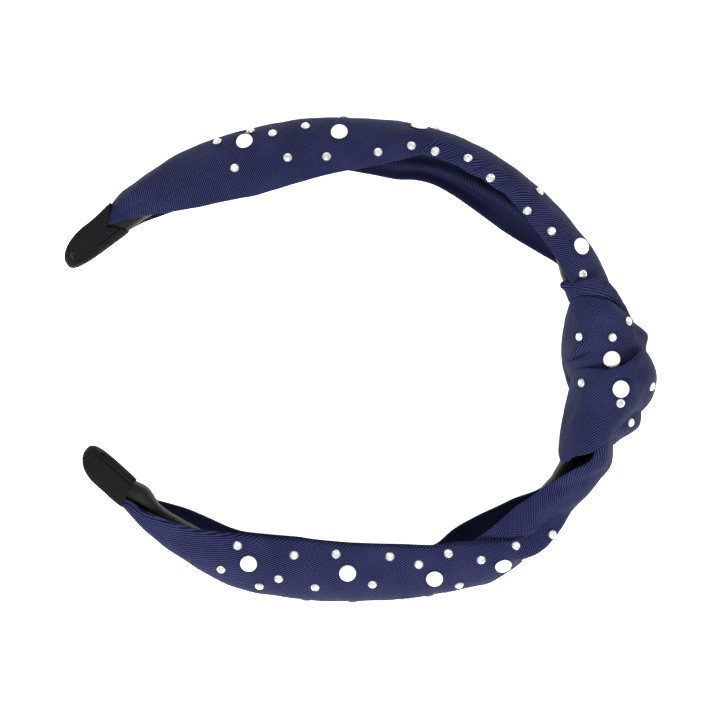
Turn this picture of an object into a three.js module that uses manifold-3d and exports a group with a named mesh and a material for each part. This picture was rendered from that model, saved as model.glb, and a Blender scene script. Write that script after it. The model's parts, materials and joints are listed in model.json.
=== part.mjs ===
// A knotted hair band, lying on its edge: the hoop's plane is level, +X points to the knot
// and the open end with its two tips faces -X. Millimetres, +Z up, standing on z = 0.
//
// A spring strip (hoop_core) runs in a satin sleeve. Over it hangs a strap of doubled twill,
// folded to a trough that opens towards the head, one stretch on each side of the knot.
// Four bands of the same cloth make the knot at the crown. The strap's gathered ends are
// tucked with the strip into two ribbed tip covers. Pearls and rhinestones sit on the cloth.

import * as THREE from 'three';
import { ParametricGeometry } from 'three/addons/geometries/ParametricGeometry.js';
import * as BufferGeometryUtils from 'three/addons/utils/BufferGeometryUtils.js';
import Module from 'manifold-3d';

const wasm = await Module();
wasm.setup();

// Driving dimensions, in millimetres.

// The hoop's centreline from the crown to the tip, as [x, y]; the other half mirrors it.
const HOOP_HALF = [
  [56.8, 0], [56.2, 10], [54.2, 20], [50.2, 29.5], [42, 38.5], [29.5, 46.2], [15, 51],
  [-2, 53.2], [-18, 52.6], [-33.2, 49.2], [-46.5, 42.9], [-56, 36.3], [-62.2, 31.3],
  [-68.4, 26.3], [-74.6, 21.3], [-80.8, 16.3],
];
const CENTRE_SHIFT = [0.38, -0.39];    // puts the middle of the whole outline on the origin
const HOOP_HEIGHT = 16;                // hoop mid-plane above the surface it lies on

const UPPER = 1;                       // the arm on the +Y side
const LOWER = -1;                      // the arm on the -Y side
const MOUTH = { [UPPER]: 158, [LOWER]: 149.3 };     // where each tip cover opens
const TIP_END = { [UPPER]: 174.3, [LOWER]: 166 };   // where each tip cover ends

const CORE = { width: 7, thick: 1.4, chamfer: 0.4, shortOfTip: 5 };
const SLEEVE = { width: 8.4, thick: 2.8, chamfer: 1, wall: 0.4, shortOfTip: 6 };
const COVER = {
  headSide: -2.3, outside: 5.8, halfWidth: 5.4, wall: 0.6, round: 7,
  squareness: 0.4,                     // 1 is an oval section, 0 a rectangle
  endWidth: 0.35,                      // the share of its width that the blunt end keeps
  endDepth: 0.08,                      // and of its depth
  endCrowding: 1.6,                    // how far its steps crowd towards the mouth
};
const CLOTH = 1.2;                     // the doubled twill
const FIT = 0.3;                       // gap between neighbouring pieces
const PAST = 1;                        // how far a cutting body runs past the faces it opens

// The strap's section at stations along the hoop, by their distance from the crown: how far
// outside the hoop's centreline the crest and the two flaps' edges lie, and how far the near
// (+Z) and far (-Z) edges are from the mid-plane.
const STRAP_UPPER = [
  { at: 4, crest: 6.6, nearEdge: 0.6, nearHigh: 7, farEdge: 0.6, farDeep: 7 },
  { at: 13, crest: 7.4, nearEdge: 0.4, nearHigh: 7.5, farEdge: 0.4, farDeep: 7.5 },
  { at: 21, crest: 8.6, nearEdge: 0, nearHigh: 9.4, farEdge: 0, farDeep: 9.6 },
  { at: 29, crest: 7.7, nearEdge: -1.4, nearHigh: 10, farEdge: -2.6, farDeep: 12.5 },
  { at: 37, crest: 6.9, nearEdge: -1.4, nearHigh: 10.4, farEdge: -4.6, farDeep: 14.5 },
  { at: 47, crest: 7.4, nearEdge: -0.1, nearHigh: 10, farEdge: -6.2, farDeep: 16 },
  { at: 57, crest: 8.3, nearEdge: 1, nearHigh: 9.6, farEdge: -5.4, farDeep: 16.4 },
  { at: 67, crest: 9, nearEdge: 1.4, nearHigh: 9.6, farEdge: -4.2, farDeep: 16.4 },
  { at: 75, crest: 9.3, nearEdge: 0.6, nearHigh: 10, farEdge: -4.6, farDeep: 16.4 },
  { at: 80, crest: 9.3, nearEdge: -2, nearHigh: 10.4, farEdge: -5.4, farDeep: 16.4 },
  { at: 88, crest: 9.1, nearEdge: -4.2, nearHigh: 11, farEdge: -4.8, farDeep: 16.4 },
  { at: 96, crest: 8.7, nearEdge: -6, nearHigh: 11, farEdge: -4, farDeep: 16.4 },
  { at: 107, crest: 8.5, nearEdge: -8.3, nearHigh: 11, farEdge: -6.2, farDeep: 16.4 },
  { at: 119, crest: 8.4, nearEdge: -9.2, nearHigh: 11, farEdge: -7, farDeep: 15.4 },
  { at: 133, crest: 9.2, nearEdge: -6.8, nearHigh: 10.6, farEdge: -5.4, farDeep: 14 },
  { at: 141, crest: 9, nearEdge: -4.2, nearHigh: 9.6, farEdge: -3, farDeep: 12 },
  { at: 147, crest: 8.6, nearEdge: -1.4, nearHigh: 8.2, farEdge: -1.4, farDeep: 10 },
  { at: 152, crest: 7.4, nearEdge: 1, nearHigh: 6.6, farEdge: 0, farDeep: 8 },
  { at: 155.5, crest: 5.6, nearEdge: 2.6, nearHigh: 4.6, farEdge: 2, farDeep: 5 },
  { at: 158.5, crest: 4.6, nearEdge: 3.4, nearHigh: 3.8, farEdge: 3.4, farDeep: 3.8 },
  { at: 164, crest: 4.4, nearEdge: 3.4, nearHigh: 3.4, farEdge: 3.4, farDeep: 3.4 },
];
const STRAP_LOWER = [
  { at: 3, crest: 6.6, nearEdge: 0.6, nearHigh: 7, farEdge: 0.6, farDeep: 7 },
  { at: 14, crest: 8.6, nearEdge: 1.6, nearHigh: 7.5, farEdge: 1.6, farDeep: 7.5 },
  { at: 20, crest: 11.2, nearEdge: 4.8, nearHigh: 9, farEdge: 2.4, farDeep: 9.6 },
  { at: 26, crest: 9.6, nearEdge: 0.6, nearHigh: 10, farEdge: -0.4, farDeep: 12 },
  { at: 33, crest: 8.1, nearEdge: -2.4, nearHigh: 10.4, farEdge: -2.6, farDeep: 14 },
  { at: 41, crest: 9.2, nearEdge: -2.6, nearHigh: 10.6, farEdge: -4, farDeep: 15.6 },
  { at: 50, crest: 10.2, nearEdge: -2, nearHigh: 10.8, farEdge: -4.8, farDeep: 16.4 },
  { at: 58, crest: 10.3, nearEdge: -2.2, nearHigh: 11, farEdge: -4.4, farDeep: 16.4 },
  { at: 67, crest: 9.2, nearEdge: -4.2, nearHigh: 11, farEdge: -3.6, farDeep: 16.4 },
  { at: 78, crest: 9, nearEdge: -6.4, nearHigh: 11, farEdge: -4, farDeep: 16.4 },
  { at: 90, crest: 8.5, nearEdge: -7.5, nearHigh: 11, farEdge: -5.4, farDeep: 16.4 },
  { at: 102, crest: 8.6, nearEdge: -7.9, nearHigh: 11, farEdge: -6.4, farDeep: 16.4 },
  { at: 111, crest: 9, nearEdge: -6.6, nearHigh: 11, farEdge: -5.6, farDeep: 16 },
  { at: 119, crest: 8.6, nearEdge: -5, nearHigh: 10.8, farEdge: -4.6, farDeep: 15 },
  { at: 129, crest: 7.9, nearEdge: -1.8, nearHigh: 10, farEdge: -4.4, farDeep: 13.4 },
  { at: 137, crest: 7.3, nearEdge: 1, nearHigh: 8.4, farEdge: -3, farDeep: 11 },
  { at: 143, crest: 6.8, nearEdge: 2.3, nearHigh: 6.8, farEdge: -0.6, farDeep: 8.6 },
  { at: 146.8, crest: 5.6, nearEdge: 3, nearHigh: 4.6, farEdge: 2.4, farDeep: 5 },
  { at: 149.8, crest: 4.6, nearEdge: 3.4, nearHigh: 3.8, farEdge: 3.4, farDeep: 3.8 },
  { at: 155.5, crest: 4.4, nearEdge: 3.4, nearHigh: 3.4, farEdge: 3.4, farDeep: 3.4 },
];
const FOLD_TURN = Math.PI / 2 * 1.08;  // each flap turns a little more than a right angle

// The knot's bands wind round the hoop. centre and slant give the band's middle along the
// hoop, offset, deep and tall its oval path round it, half and thick its section.
const KNOT_OVER = {
  centre: -2, slant: -11, offset: 6.2, deep: 10, tall: 14.2, half: 10.5, thick: 5, from: -156, to: 156,
};
const KNOT_UNDER = {
  centre: -0.5, slant: 8.5, offset: 4, deep: 7.3, tall: 13.8, half: 10, thick: 4.2, from: -180, to: 180,
};
const KNOT_COLLAR_UPPER = {
  centre: 18, slant: 0.5, offset: 3.4, deep: 7.7, tall: 12.3, half: 4.6, thick: 2.6, from: -150, to: 172,
};
const KNOT_COLLAR_LOWER = {
  centre: -16.5, slant: 0.5, offset: 4.7, deep: 9.1, tall: 12.3, half: 4.6, thick: 2.6, from: -172, to: 150,
};
const HEAD_SIDE_THIN = 0.55;           // the bands' thickness at the head, as a share
const OUTSIDE_PINCH = 0.24;            // how much of their width the bands lose outside

// The stones: flat-backed half pearls and faceted rhinestones, as the radius and the height.
const PEARL = { radius: 2.15, height: 1.9 };
const RHINESTONE = { radius: 1.05, height: 0.85 };

// Where they sit on the strap, as [distance from the crown, share of the flap].
const PEARLS_UPPER = [[119, 0.41], [96, 0.48], [77, 0.06], [30, 0.51]];
const RHINESTONES_UPPER = [
  [125, 0.31], [123, 0.72], [117, -0.14], [112, 0.39], [109, 0.73], [104, 0.34], [99, 0.8],
  [90, -0.28], [86, 0.81], [78, 0.75], [72, 0.86], [64, 0.78], [57, 0.94], [45, 0.97], [37, 0.85],
  [24, 0.8],
];
const PEARLS_LOWER = [[114, 0.67], [89, 0.66], [68, 0.53], [52, 0.41]];
const RHINESTONES_LOWER = [
  [118, 0.87], [120, 0.49], [36, -0.11], [106, 0.53], [103, 0.82], [97, 0.45], [92, 0.87], [83, 0.52],
  [78, 0.86], [71, 0.76], [63, 0.88], [63, -0.14], [56, 0.69], [47, 0.63], [39, 0.26], [46, -0.09],
];

// Where they sit on the knot's bands, as [band, angle round the hoop, share of the width].
const PEARLS_KNOT = [[KNOT_UNDER, 79, -0.5], [KNOT_OVER, 80, 0.8], [KNOT_OVER, 15, 0.75]];
const RHINESTONES_KNOT = [
  [KNOT_UNDER, 131, 0.28], [KNOT_UNDER, 77, 0.03], [KNOT_UNDER, 37, 0.7], [KNOT_OVER, 131, 0.68],
  [KNOT_OVER, 81, 0.46], [KNOT_OVER, 30, 0.47], [KNOT_COLLAR_LOWER, 24, 0.1],
];

// A rhinestone's outline, as shares of its radius and height.
const RHINESTONE_FOOT = 0.85;
const RHINESTONE_GIRDLE = 0.35;
const RHINESTONE_TABLE = 0.55;

// How finely the bodies are divided.
const HOOP_STEPS = 36;
const STRAP_STEPS = 26;
const STRAP_SHARES = 10;
const BAND_STEPS = 26;
const BAND_SIDES = 12;
const COVER_STEPS = 8;
const COVER_SIDES = 12;
const PEARL_RINGS = 4;
const PEARL_SIDES = 12;
const RHINESTONE_SIDES = 8;

// Colours of the pieces.
const NAVY = 0x2f3252;
const BLACK_RIB = 0x232324;
const BLACK_SATIN = 0x2c2c2e;
const GREY_PLASTIC = 0x55565a;
const PEARL_WHITE = 0xf4f4f2;
const CRYSTAL = 0xd9dade;

function material(color, roughness, metalness = 0) {
  return new THREE.MeshStandardMaterial({ color, roughness, metalness });
}

// The hoop's centreline as one curve from the lower tip over the crown to the upper tip.
const hoopCurve = (() => {
  const half = HOOP_HALF.map(([x, y]) => new THREE.Vector3(x, y, 0));
  const mirrored = half.slice(1).reverse().map((p) => new THREE.Vector3(p.x, -p.y, 0));
  const curve = new THREE.CatmullRomCurve3([...mirrored, ...half], false, 'catmullrom', 0.5);
  curve.arcLengthDivisions = 3000;
  return curve;
})();
const HOOP_LENGTH = hoopCurve.getLength();

// The point at signed distance along the hoop from the crown (+ towards the upper tip),
// `out` millimetres outside the hoop and `high` above its mid-plane.
function atHoop(along, out, high, target = new THREE.Vector3()) {
  const u = THREE.MathUtils.clamp(0.5 + along / HOOP_LENGTH, 0, 1);
  const p = hoopCurve.getPointAt(u);
  const t = hoopCurve.getTangentAt(u);
  return target.set(
    p.x + t.y * out + CENTRE_SHIFT[0],
    p.y - t.x * out + CENTRE_SHIFT[1],
    HOOP_HEIGHT + high,
  );
}

// Leaves only positions, joins equal vertices, drops collapsed triangles and turns the
// faces outwards.
function closedBody(geometry) {
  geometry.deleteAttribute('normal');
  geometry.deleteAttribute('uv');
  const merged = BufferGeometryUtils.mergeVertices(geometry, 1e-4);
  const at = merged.getAttribute('position');
  const index = merged.getIndex().array;
  const kept = [];
  let volume = 0;
  const [a, b, c] = [new THREE.Vector3(), new THREE.Vector3(), new THREE.Vector3()];
  for (let i = 0; i < index.length; i += 3) {
    const [ia, ib, ic] = index.slice(i, i + 3);
    if (ia === ib || ib === ic || ic === ia) continue;
    kept.push(ia, ib, ic);
    a.fromBufferAttribute(at, ia);
    b.fromBufferAttribute(at, ib);
    c.fromBufferAttribute(at, ic);
    volume += a.dot(b.cross(c));
  }
  if (volume < 0) kept.reverse();
  merged.setIndex(kept);
  return merged;
}

function toManifold(geometry) {
  const body = closedBody(geometry);
  const vertProperties = Float32Array.from(body.getAttribute('position').array);
  const triVerts = Uint32Array.from(body.getIndex().array);
  return new wasm.Manifold(new wasm.Mesh({ numProp: 3, vertProperties, triVerts }));
}

// The geometry without what the tools fill.
function cut(geometry, tools) {
  let solid = toManifold(geometry);
  for (const tool of tools) {
    solid = solid.subtract(toManifold(tool));
  }
  const mesh = solid.getMesh();
  const result = new THREE.BufferGeometry();
  result.setAttribute('position', new THREE.BufferAttribute(mesh.vertProperties, 3));
  result.setIndex(new THREE.BufferAttribute(mesh.triVerts, 1));
  return result;
}

// A body swept along rows 0..along with `around` points to a row, closed at both ends:
// point(t, side, depth) gives side 0..around of the row at t, and depth 0 its mid line.
function cappedSweep(point, along, around) {
  const rows = along + 2;
  const place = (u, v, target) => {
    const row = Math.round(v * rows);
    const t = THREE.MathUtils.clamp((row - 1) / along, 0, 1);
    const depth = row === 0 || row === rows ? 0 : 1;
    point(t, Math.round(u * around) % around, depth, target);
  };
  return closedBody(new ParametricGeometry(place, around, rows));
}

function ringSweep(point, along, around) {
  const place = (u, v, target) => {
    const row = Math.round(v * along) % along;
    point(row / along, Math.round(u * around) % around, 1, target);
  };
  return closedBody(new ParametricGeometry(place, around, along));
}

// Corners of a flat bar's section with chamfered edges, as [out, high].
function barSection(width, thick, chamfer) {
  const w = width / 2;
  const t = thick / 2;
  return [
    [t, w - chamfer], [t, chamfer - w], [t - chamfer, -w], [chamfer - t, -w],
    [-t, chamfer - w], [-t, w - chamfer], [chamfer - t, w], [t - chamfer, w],
  ];
}

function barAlongHoop(section, from, to) {
  return cappedSweep((t, side, depth, target) => {
    const [out, high] = section[side];
    atHoop(THREE.MathUtils.lerp(from, to, t), out * depth, high * depth, target);
  }, HOOP_STEPS, section.length);
}

function hoopCore() {
  const from = -(TIP_END[LOWER] - CORE.shortOfTip);
  const to = TIP_END[UPPER] - CORE.shortOfTip;
  return barAlongHoop(barSection(CORE.width, CORE.thick, CORE.chamfer), from, to);
}

// A satin tube round the strip, open at both ends inside the tip covers.
function hoopSleeve() {
  const from = -(TIP_END[LOWER] - SLEEVE.shortOfTip);
  const to = TIP_END[UPPER] - SLEEVE.shortOfTip;
  const { width, thick, chamfer, wall } = SLEEVE;
  const outer = barSection(width, thick, chamfer);
  const inner = barSection(width - 2 * wall, thick - 2 * wall, chamfer - wall);
  return cut(barAlongHoop(outer, from, to), [barAlongHoop(inner, from - PAST, to + PAST)]);
}

// The value of one field of the strap's stations at a distance from the crown, as a smooth
// curve through them.
function stationValue(stations, field, at) {
  const last = stations.length - 1;
  const slope = (i) => {
    const before = stations[Math.max(i - 1, 0)];
    const after = stations[Math.min(i + 1, last)];
    return (after[field] - before[field]) / (after.at - before.at);
  };
  const next = stations.findIndex((station) => station.at > at);
  const i = next < 0 ? last - 1 : Math.max(next - 1, 0);
  const span = stations[i + 1].at - stations[i].at;
  const u = THREE.MathUtils.clamp((at - stations[i].at) / span, 0, 1);
  const [a, b] = [stations[i][field], stations[i + 1][field]];
  const [ma, mb] = [slope(i) * span, slope(i + 1) * span];
  return (2 * u ** 3 - 3 * u ** 2 + 1) * a + (u ** 3 - 2 * u ** 2 + u) * ma
    + (3 * u ** 2 - 2 * u ** 3) * b + (u ** 3 - u ** 2) * mb;
}

// The strap's outer surface as [out, high] at a station: share 0 is the crest, 1 the near
// flap's edge and -1 the far flap's edge.
function strapSection(stations, at, share) {
  const field = (name) => stationValue(stations, name, at);
  const turn = Math.abs(share) * FOLD_TURN;
  const reach = Math.sin(turn) / Math.sin(FOLD_TURN);
  const drop = (1 - Math.cos(turn)) / (1 - Math.cos(FOLD_TURN));
  const [edge, high] = share >= 0
    ? [field('nearEdge'), field('nearHigh')]
    : [field('farEdge'), -field('farDeep')];
  return [THREE.MathUtils.lerp(field('crest'), edge, drop), high * reach];
}

// The unit direction out of the strap's section at a share, as [out, high].
function strapSectionNormal(stations, at, share) {
  const step = 0.02;
  const [a, b] = strapSection(stations, at, Math.min(share + step, 1));
  const [c, d] = strapSection(stations, at, Math.max(share - step, -1));
  const length = Math.hypot(a - c, b - d);
  return [(b - d) / length, (c - a) / length];
}

function strap(stations, side) {
  const shares = STRAP_SHARES;
  const from = stations[0].at;
  const to = stations[stations.length - 1].at;
  return cut(cappedSweep((t, corner, depth, target) => {
    const at = THREE.MathUtils.lerp(from, to, t);
    const inside = corner > shares;
    const share = 1 - 2 * (inside ? 2 * shares + 1 - corner : corner) / shares;
    const [out, high] = strapSection(stations, at, share);
    const [nOut, nHigh] = strapSectionNormal(stations, at, share);
    const inset = CLOTH / 2 + (inside ? CLOTH / 2 : -CLOTH / 2) * depth;
    atHoop(side * at, out - nOut * inset, high - nHigh * inset, target);
  }, STRAP_STEPS, 2 * (shares + 1)), [floor()]);
}

// Everything below the surface that the band lies on.
function floor() {
  const slab = new THREE.BoxGeometry(400, 400, 40);
  slab.translate(0, 0, -20);
  return slab;
}

// A point of a knot band's section: `wind` is the angle round the hoop (0 outside, 90 near,
// 180 at the head), `girth` the angle round the section and `grow` widens it.
function knotPoint(band, wind, girth, grow, depth, target) {
  const angle = THREE.MathUtils.degToRad(wind);
  const nOut = Math.cos(angle) / band.deep;
  const nHigh = Math.sin(angle) / band.tall;
  const n = Math.hypot(nOut, nHigh);
  const share = HEAD_SIDE_THIN + (1 - HEAD_SIDE_THIN) * (1 + Math.cos(angle)) / 2;
  const lift = Math.sin(girth) * (band.thick / 2 * share + grow) * depth;
  const half = band.half * (1 - OUTSIDE_PINCH * Math.max(0, Math.cos(angle)) ** 2);
  const along = band.centre + band.slant * Math.sin(angle) + Math.cos(girth) * (half + grow) * depth;
  return atHoop(
    along,
    band.offset + band.deep * Math.cos(angle) + lift * nOut / n,
    band.tall * Math.sin(angle) + lift * nHigh / n,
    target,
  );
}

function knotBand(band, grow = 0) {
  const girth = (side) => side / BAND_SIDES * 2 * Math.PI;
  const point = (t, side, depth, target) => {
    const wind = THREE.MathUtils.lerp(band.from, band.to, t);
    knotPoint(band, wind, girth(side), grow, depth, target);
  };
  return band.to - band.from === 360
    ? ringSweep(point, BAND_STEPS, BAND_SIDES)
    : cappedSweep(point, BAND_STEPS, BAND_SIDES);
}

// A ribbed cover's body from its mouth to its round end, `inset` inside its outer surface.
function coverBody(side, inset, from, to) {
  const middle = (COVER.headSide + COVER.outside) / 2;
  const half = (COVER.outside - COVER.headSide) / 2 - inset;
  const high = COVER.halfWidth - inset;
  const end = TIP_END[side] - inset;
  const corner = (value) => Math.sign(value) * Math.abs(value) ** COVER.squareness;
  return cappedSweep((t, i, depth, target) => {
    const at = THREE.MathUtils.lerp(from, Math.min(to, end), 1 - (1 - t) ** COVER.endCrowding);
    const into = Math.max(0, (at - (end - COVER.round)) / COVER.round);
    const round = Math.sqrt(Math.max(0, 1 - into * into));
    const keepDepth = half * THREE.MathUtils.lerp(COVER.endDepth, 1, round);
    const keepWidth = high * THREE.MathUtils.lerp(COVER.endWidth, 1, round);
    const angle = i / COVER_SIDES * 2 * Math.PI;
    const out = middle - half + keepDepth + keepDepth * corner(Math.cos(angle)) * depth;
    atHoop(side * at, out, keepWidth * corner(Math.sin(angle)) * depth, target);
  }, COVER_STEPS, COVER_SIDES);
}

function tipCover(side) {
  const pocket = coverBody(side, COVER.wall, MOUTH[side] - PAST, TIP_END[side] - 2 * PAST);
  return cut(coverBody(side, 0, MOUTH[side], TIP_END[side]), [pocket]);
}

// A body turned round the Y axis, flat at y = 0, from its outline as [radius, height].
function turned(outline, sides) {
  const points = outline.map(([radius, height]) => new THREE.Vector2(radius, height));
  return closedBody(new THREE.LatheGeometry(points, sides));
}

function pearl() {
  const dome = Array.from({ length: PEARL_RINGS + 1 }, (_, i) => {
    const angle = i / PEARL_RINGS * Math.PI / 2;
    const radius = i === PEARL_RINGS ? 0 : PEARL.radius * Math.cos(angle);
    return [radius, PEARL.height * Math.sin(angle)];
  });
  return turned([[0, 0], ...dome], PEARL_SIDES);
}

function rhinestone() {
  const { radius, height } = RHINESTONE;
  const foot = RHINESTONE_FOOT * radius;
  const girdle = RHINESTONE_GIRDLE * height;
  const table = RHINESTONE_TABLE * radius;
  return turned(
    [[0, 0], [foot, 0], [radius, girdle], [table, height], [0, height]],
    RHINESTONE_SIDES,
  );
}

// Sets a stone flat on a surface(u, v), a fitting gap above it and facing away from the hoop.
function setStone(mesh, surface, u, v, along) {
  const step = 0.01;
  const point = surface(u, v);
  const across = surface(u + step, v).sub(surface(u - step, v));
  const down = surface(u, v + step).sub(surface(u, v - step));
  const normal = across.cross(down).normalize();
  if (normal.dot(point.clone().sub(atHoop(along, 0, 0))) < 0) normal.negate();
  mesh.quaternion.setFromUnitVectors(new THREE.Vector3(0, 1, 0), normal);
  mesh.position.copy(point).addScaledVector(normal, FIT);
}

const band = new THREE.Group();

function add(name, geometry, look) {
  const mesh = new THREE.Mesh(geometry, look);
  mesh.name = name;
  band.add(mesh);
  return mesh;
}

const navy = material(NAVY, 0.75);
const rib = material(BLACK_RIB, 0.9);

add('hoop_core', hoopCore(), material(GREY_PLASTIC, 0.5));
add('hoop_sleeve', hoopSleeve(), material(BLACK_SATIN, 0.45));
add('tip_cover_upper', tipCover(UPPER), rib);
add('tip_cover_lower', tipCover(LOWER), rib);
add('strap_upper', strap(STRAP_UPPER, UPPER), navy);
add('strap_lower', strap(STRAP_LOWER, LOWER), navy);
add('knot_band_over', cut(knotBand(KNOT_OVER), [floor()]), navy);
const over = knotBand(KNOT_OVER, FIT);
const under = knotBand(KNOT_UNDER, FIT);
add('knot_band_under', cut(knotBand(KNOT_UNDER), [floor(), over]), navy);
add('knot_collar_upper', cut(knotBand(KNOT_COLLAR_UPPER), [over, under]), navy);
add('knot_collar_lower', cut(knotBand(KNOT_COLLAR_LOWER), [over, under]), navy);

const pearlLook = material(PEARL_WHITE, 0.35);
const crystalLook = material(CRYSTAL, 0.15, 0.6);

function addStrapStones(name, shape, look, places, stations, side) {
  const surface = (at, share) => atHoop(side * at, ...strapSection(stations, at, share));
  places.forEach(([at, share], i) => {
    setStone(add(`${name}_${i + 1}`, shape, look), surface, at, share, side * at);
  });
}

function addKnotStones(name, shape, look, places) {
  places.forEach(([knot, wind, share], i) => {
    const surface = (w, x) => knotPoint(knot, w, Math.acos(x), 0, 1, new THREE.Vector3());
    setStone(add(`${name}_${i + 1}`, shape, look), surface, wind, share, knot.centre);
  });
}

addStrapStones('pearl_upper', pearl(), pearlLook, PEARLS_UPPER, STRAP_UPPER, UPPER);
addStrapStones('pearl_lower', pearl(), pearlLook, PEARLS_LOWER, STRAP_LOWER, LOWER);
addKnotStones('pearl_knot', pearl(), pearlLook, PEARLS_KNOT);
addStrapStones('rhinestone_upper', rhinestone(), crystalLook, RHINESTONES_UPPER, STRAP_UPPER, UPPER);
addStrapStones('rhinestone_lower', rhinestone(), crystalLook, RHINESTONES_LOWER, STRAP_LOWER, LOWER);
addKnotStones('rhinestone_knot', rhinestone(), crystalLook, RHINESTONES_KNOT);

export default band;
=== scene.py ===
"""A knotted hair band of navy twill on its edge, seen straight from above.

The cloth, the satin sleeve, the ribbed tip covers and the stones are made here round the
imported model. All shapes are worked out in millimetres and put into Blender in metres.

A place on the band is given by its distance along the hoop from the crown (+ towards the
upper tip), by how far it lies outside the hoop's centreline and how high above its plane.
"""
import json
import math

import bpy
import numpy as np
from mathutils import Matrix, Vector
from mathutils.bvhtree import BVHTree

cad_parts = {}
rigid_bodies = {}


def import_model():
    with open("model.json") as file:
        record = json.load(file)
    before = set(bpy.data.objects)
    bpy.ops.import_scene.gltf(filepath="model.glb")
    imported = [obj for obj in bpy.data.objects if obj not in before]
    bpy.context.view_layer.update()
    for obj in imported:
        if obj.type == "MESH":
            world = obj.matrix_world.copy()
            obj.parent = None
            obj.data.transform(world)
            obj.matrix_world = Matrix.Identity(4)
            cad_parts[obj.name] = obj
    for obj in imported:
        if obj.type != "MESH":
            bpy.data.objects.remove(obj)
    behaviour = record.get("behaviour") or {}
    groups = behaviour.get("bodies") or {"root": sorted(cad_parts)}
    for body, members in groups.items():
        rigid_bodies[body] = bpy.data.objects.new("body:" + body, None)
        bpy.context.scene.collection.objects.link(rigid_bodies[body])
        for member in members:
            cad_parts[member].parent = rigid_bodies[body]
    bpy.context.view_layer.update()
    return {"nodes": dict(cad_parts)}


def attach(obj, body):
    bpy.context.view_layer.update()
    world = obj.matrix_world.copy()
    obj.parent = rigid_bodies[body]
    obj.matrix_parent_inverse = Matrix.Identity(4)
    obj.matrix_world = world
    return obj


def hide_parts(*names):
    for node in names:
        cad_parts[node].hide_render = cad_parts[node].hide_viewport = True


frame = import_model()

MM = 0.001

# ---------------------------------------------------------------- the hoop, as the CAD has it

HOOP_HALF = (
    (56.8, 0), (56.2, 10), (54.2, 20), (50.2, 29.5), (42, 38.5), (29.5, 46.2), (15, 51),
    (-2, 53.2), (-18, 52.6), (-33.2, 49.2), (-46.5, 42.9), (-56, 36.3), (-62.2, 31.3),
    (-68.4, 26.3), (-74.6, 21.3), (-80.8, 16.3),
)
CENTRE_SHIFT = (0.38, -0.39)
HOOP_HEIGHT = 16.0
UPPER, LOWER = 1, -1
MOUTH = {UPPER: 155.0, LOWER: 149.3}
TIP_END = {UPPER: 173.0, LOWER: 165.0}
SPAN_STEPS = 60

CLOTH = 1.1          # the doubled twill
SATIN = 0.35


def catmull_rom(points, steps):
    """Points of the uniform Catmull-Rom curve through `points`, `steps` to a span."""
    p = np.asarray(points, float)
    p = np.vstack([2 * p[0] - p[1], p, 2 * p[-1] - p[-2]])
    u = np.linspace(0, 1, steps, endpoint=False)[:, None]
    spans = []
    for a, b, c, d in zip(p[:-3], p[1:-2], p[2:-1], p[3:]):
        spans.append(0.5 * (2 * b + (c - a) * u + (2 * a - 5 * b + 4 * c - d) * u**2
                            + (3 * b - a - 3 * c + d) * u**3))
    return np.vstack(spans + [p[-2:-1]])


def hoop_curve():
    mirrored = [(x, -y) for x, y in HOOP_HALF[:0:-1]]
    line = catmull_rom(mirrored + list(HOOP_HALF), SPAN_STEPS)
    steps = np.linalg.norm(np.diff(line, axis=0), axis=1)
    along = np.concatenate([[0], np.cumsum(steps)])
    along -= along[-1] / 2
    tangent = np.gradient(line, along, axis=0)
    tangent /= np.linalg.norm(tangent, axis=1)[:, None]
    return along, line, tangent


HOOP_ALONG, HOOP_LINE, HOOP_TANGENT = hoop_curve()


def at_hoop(along, out, high):
    """The points at distances along, outside and above the hoop's centreline, in mm."""
    along, out, high = np.broadcast_arrays(along, out, high)
    x, y = (np.interp(along, HOOP_ALONG, HOOP_LINE[:, k]) for k in (0, 1))
    tx, ty = (np.interp(along, HOOP_ALONG, HOOP_TANGENT[:, k]) for k in (0, 1))
    return np.stack([
        x + ty * out + CENTRE_SHIFT[0],
        y - tx * out + CENTRE_SHIFT[1],
        HOOP_HEIGHT + high,
    ], axis=-1)


def through(rows, at):
    """A smooth curve through rows of (at, value, value, ...): one array for each value."""
    rows = np.asarray(rows, float)
    at = np.clip(np.asarray(at, float), rows[0, 0], rows[-1, 0])
    slope = np.empty_like(rows[:, 1:])
    slope[1:-1] = (rows[2:, 1:] - rows[:-2, 1:]) / (rows[2:, :1] - rows[:-2, :1])
    slope[0] = (rows[1, 1:] - rows[0, 1:]) / (rows[1, 0] - rows[0, 0])
    slope[-1] = (rows[-1, 1:] - rows[-2, 1:]) / (rows[-1, 0] - rows[-2, 0])
    i = np.clip(np.searchsorted(rows[:, 0], at, side="right") - 1, 0, len(rows) - 2)
    span = rows[i + 1, 0] - rows[i, 0]
    u = (at - rows[i, 0]) / span
    return [
        (2 * u**3 - 3 * u**2 + 1) * rows[i, k] + (u**3 - 2 * u**2 + u) * span * slope[i, k - 1]
        + (3 * u**2 - 2 * u**3) * rows[i + 1, k] + (u**3 - u**2) * span * slope[i + 1, k - 1]
        for k in range(1, rows.shape[1])
    ]


def smoothstep(low, high, value):
    u = np.clip((np.asarray(value, float) - low) / (high - low), 0, 1)
    return u * u * (3 - 2 * u)


def unit(v):
    return v / np.maximum(np.linalg.norm(v, axis=-1, keepdims=True), 1e-9)


def lerp(a, b, t):
    return a + (b - a) * t


# ---------------------------------------------------------------- meshes

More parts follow.
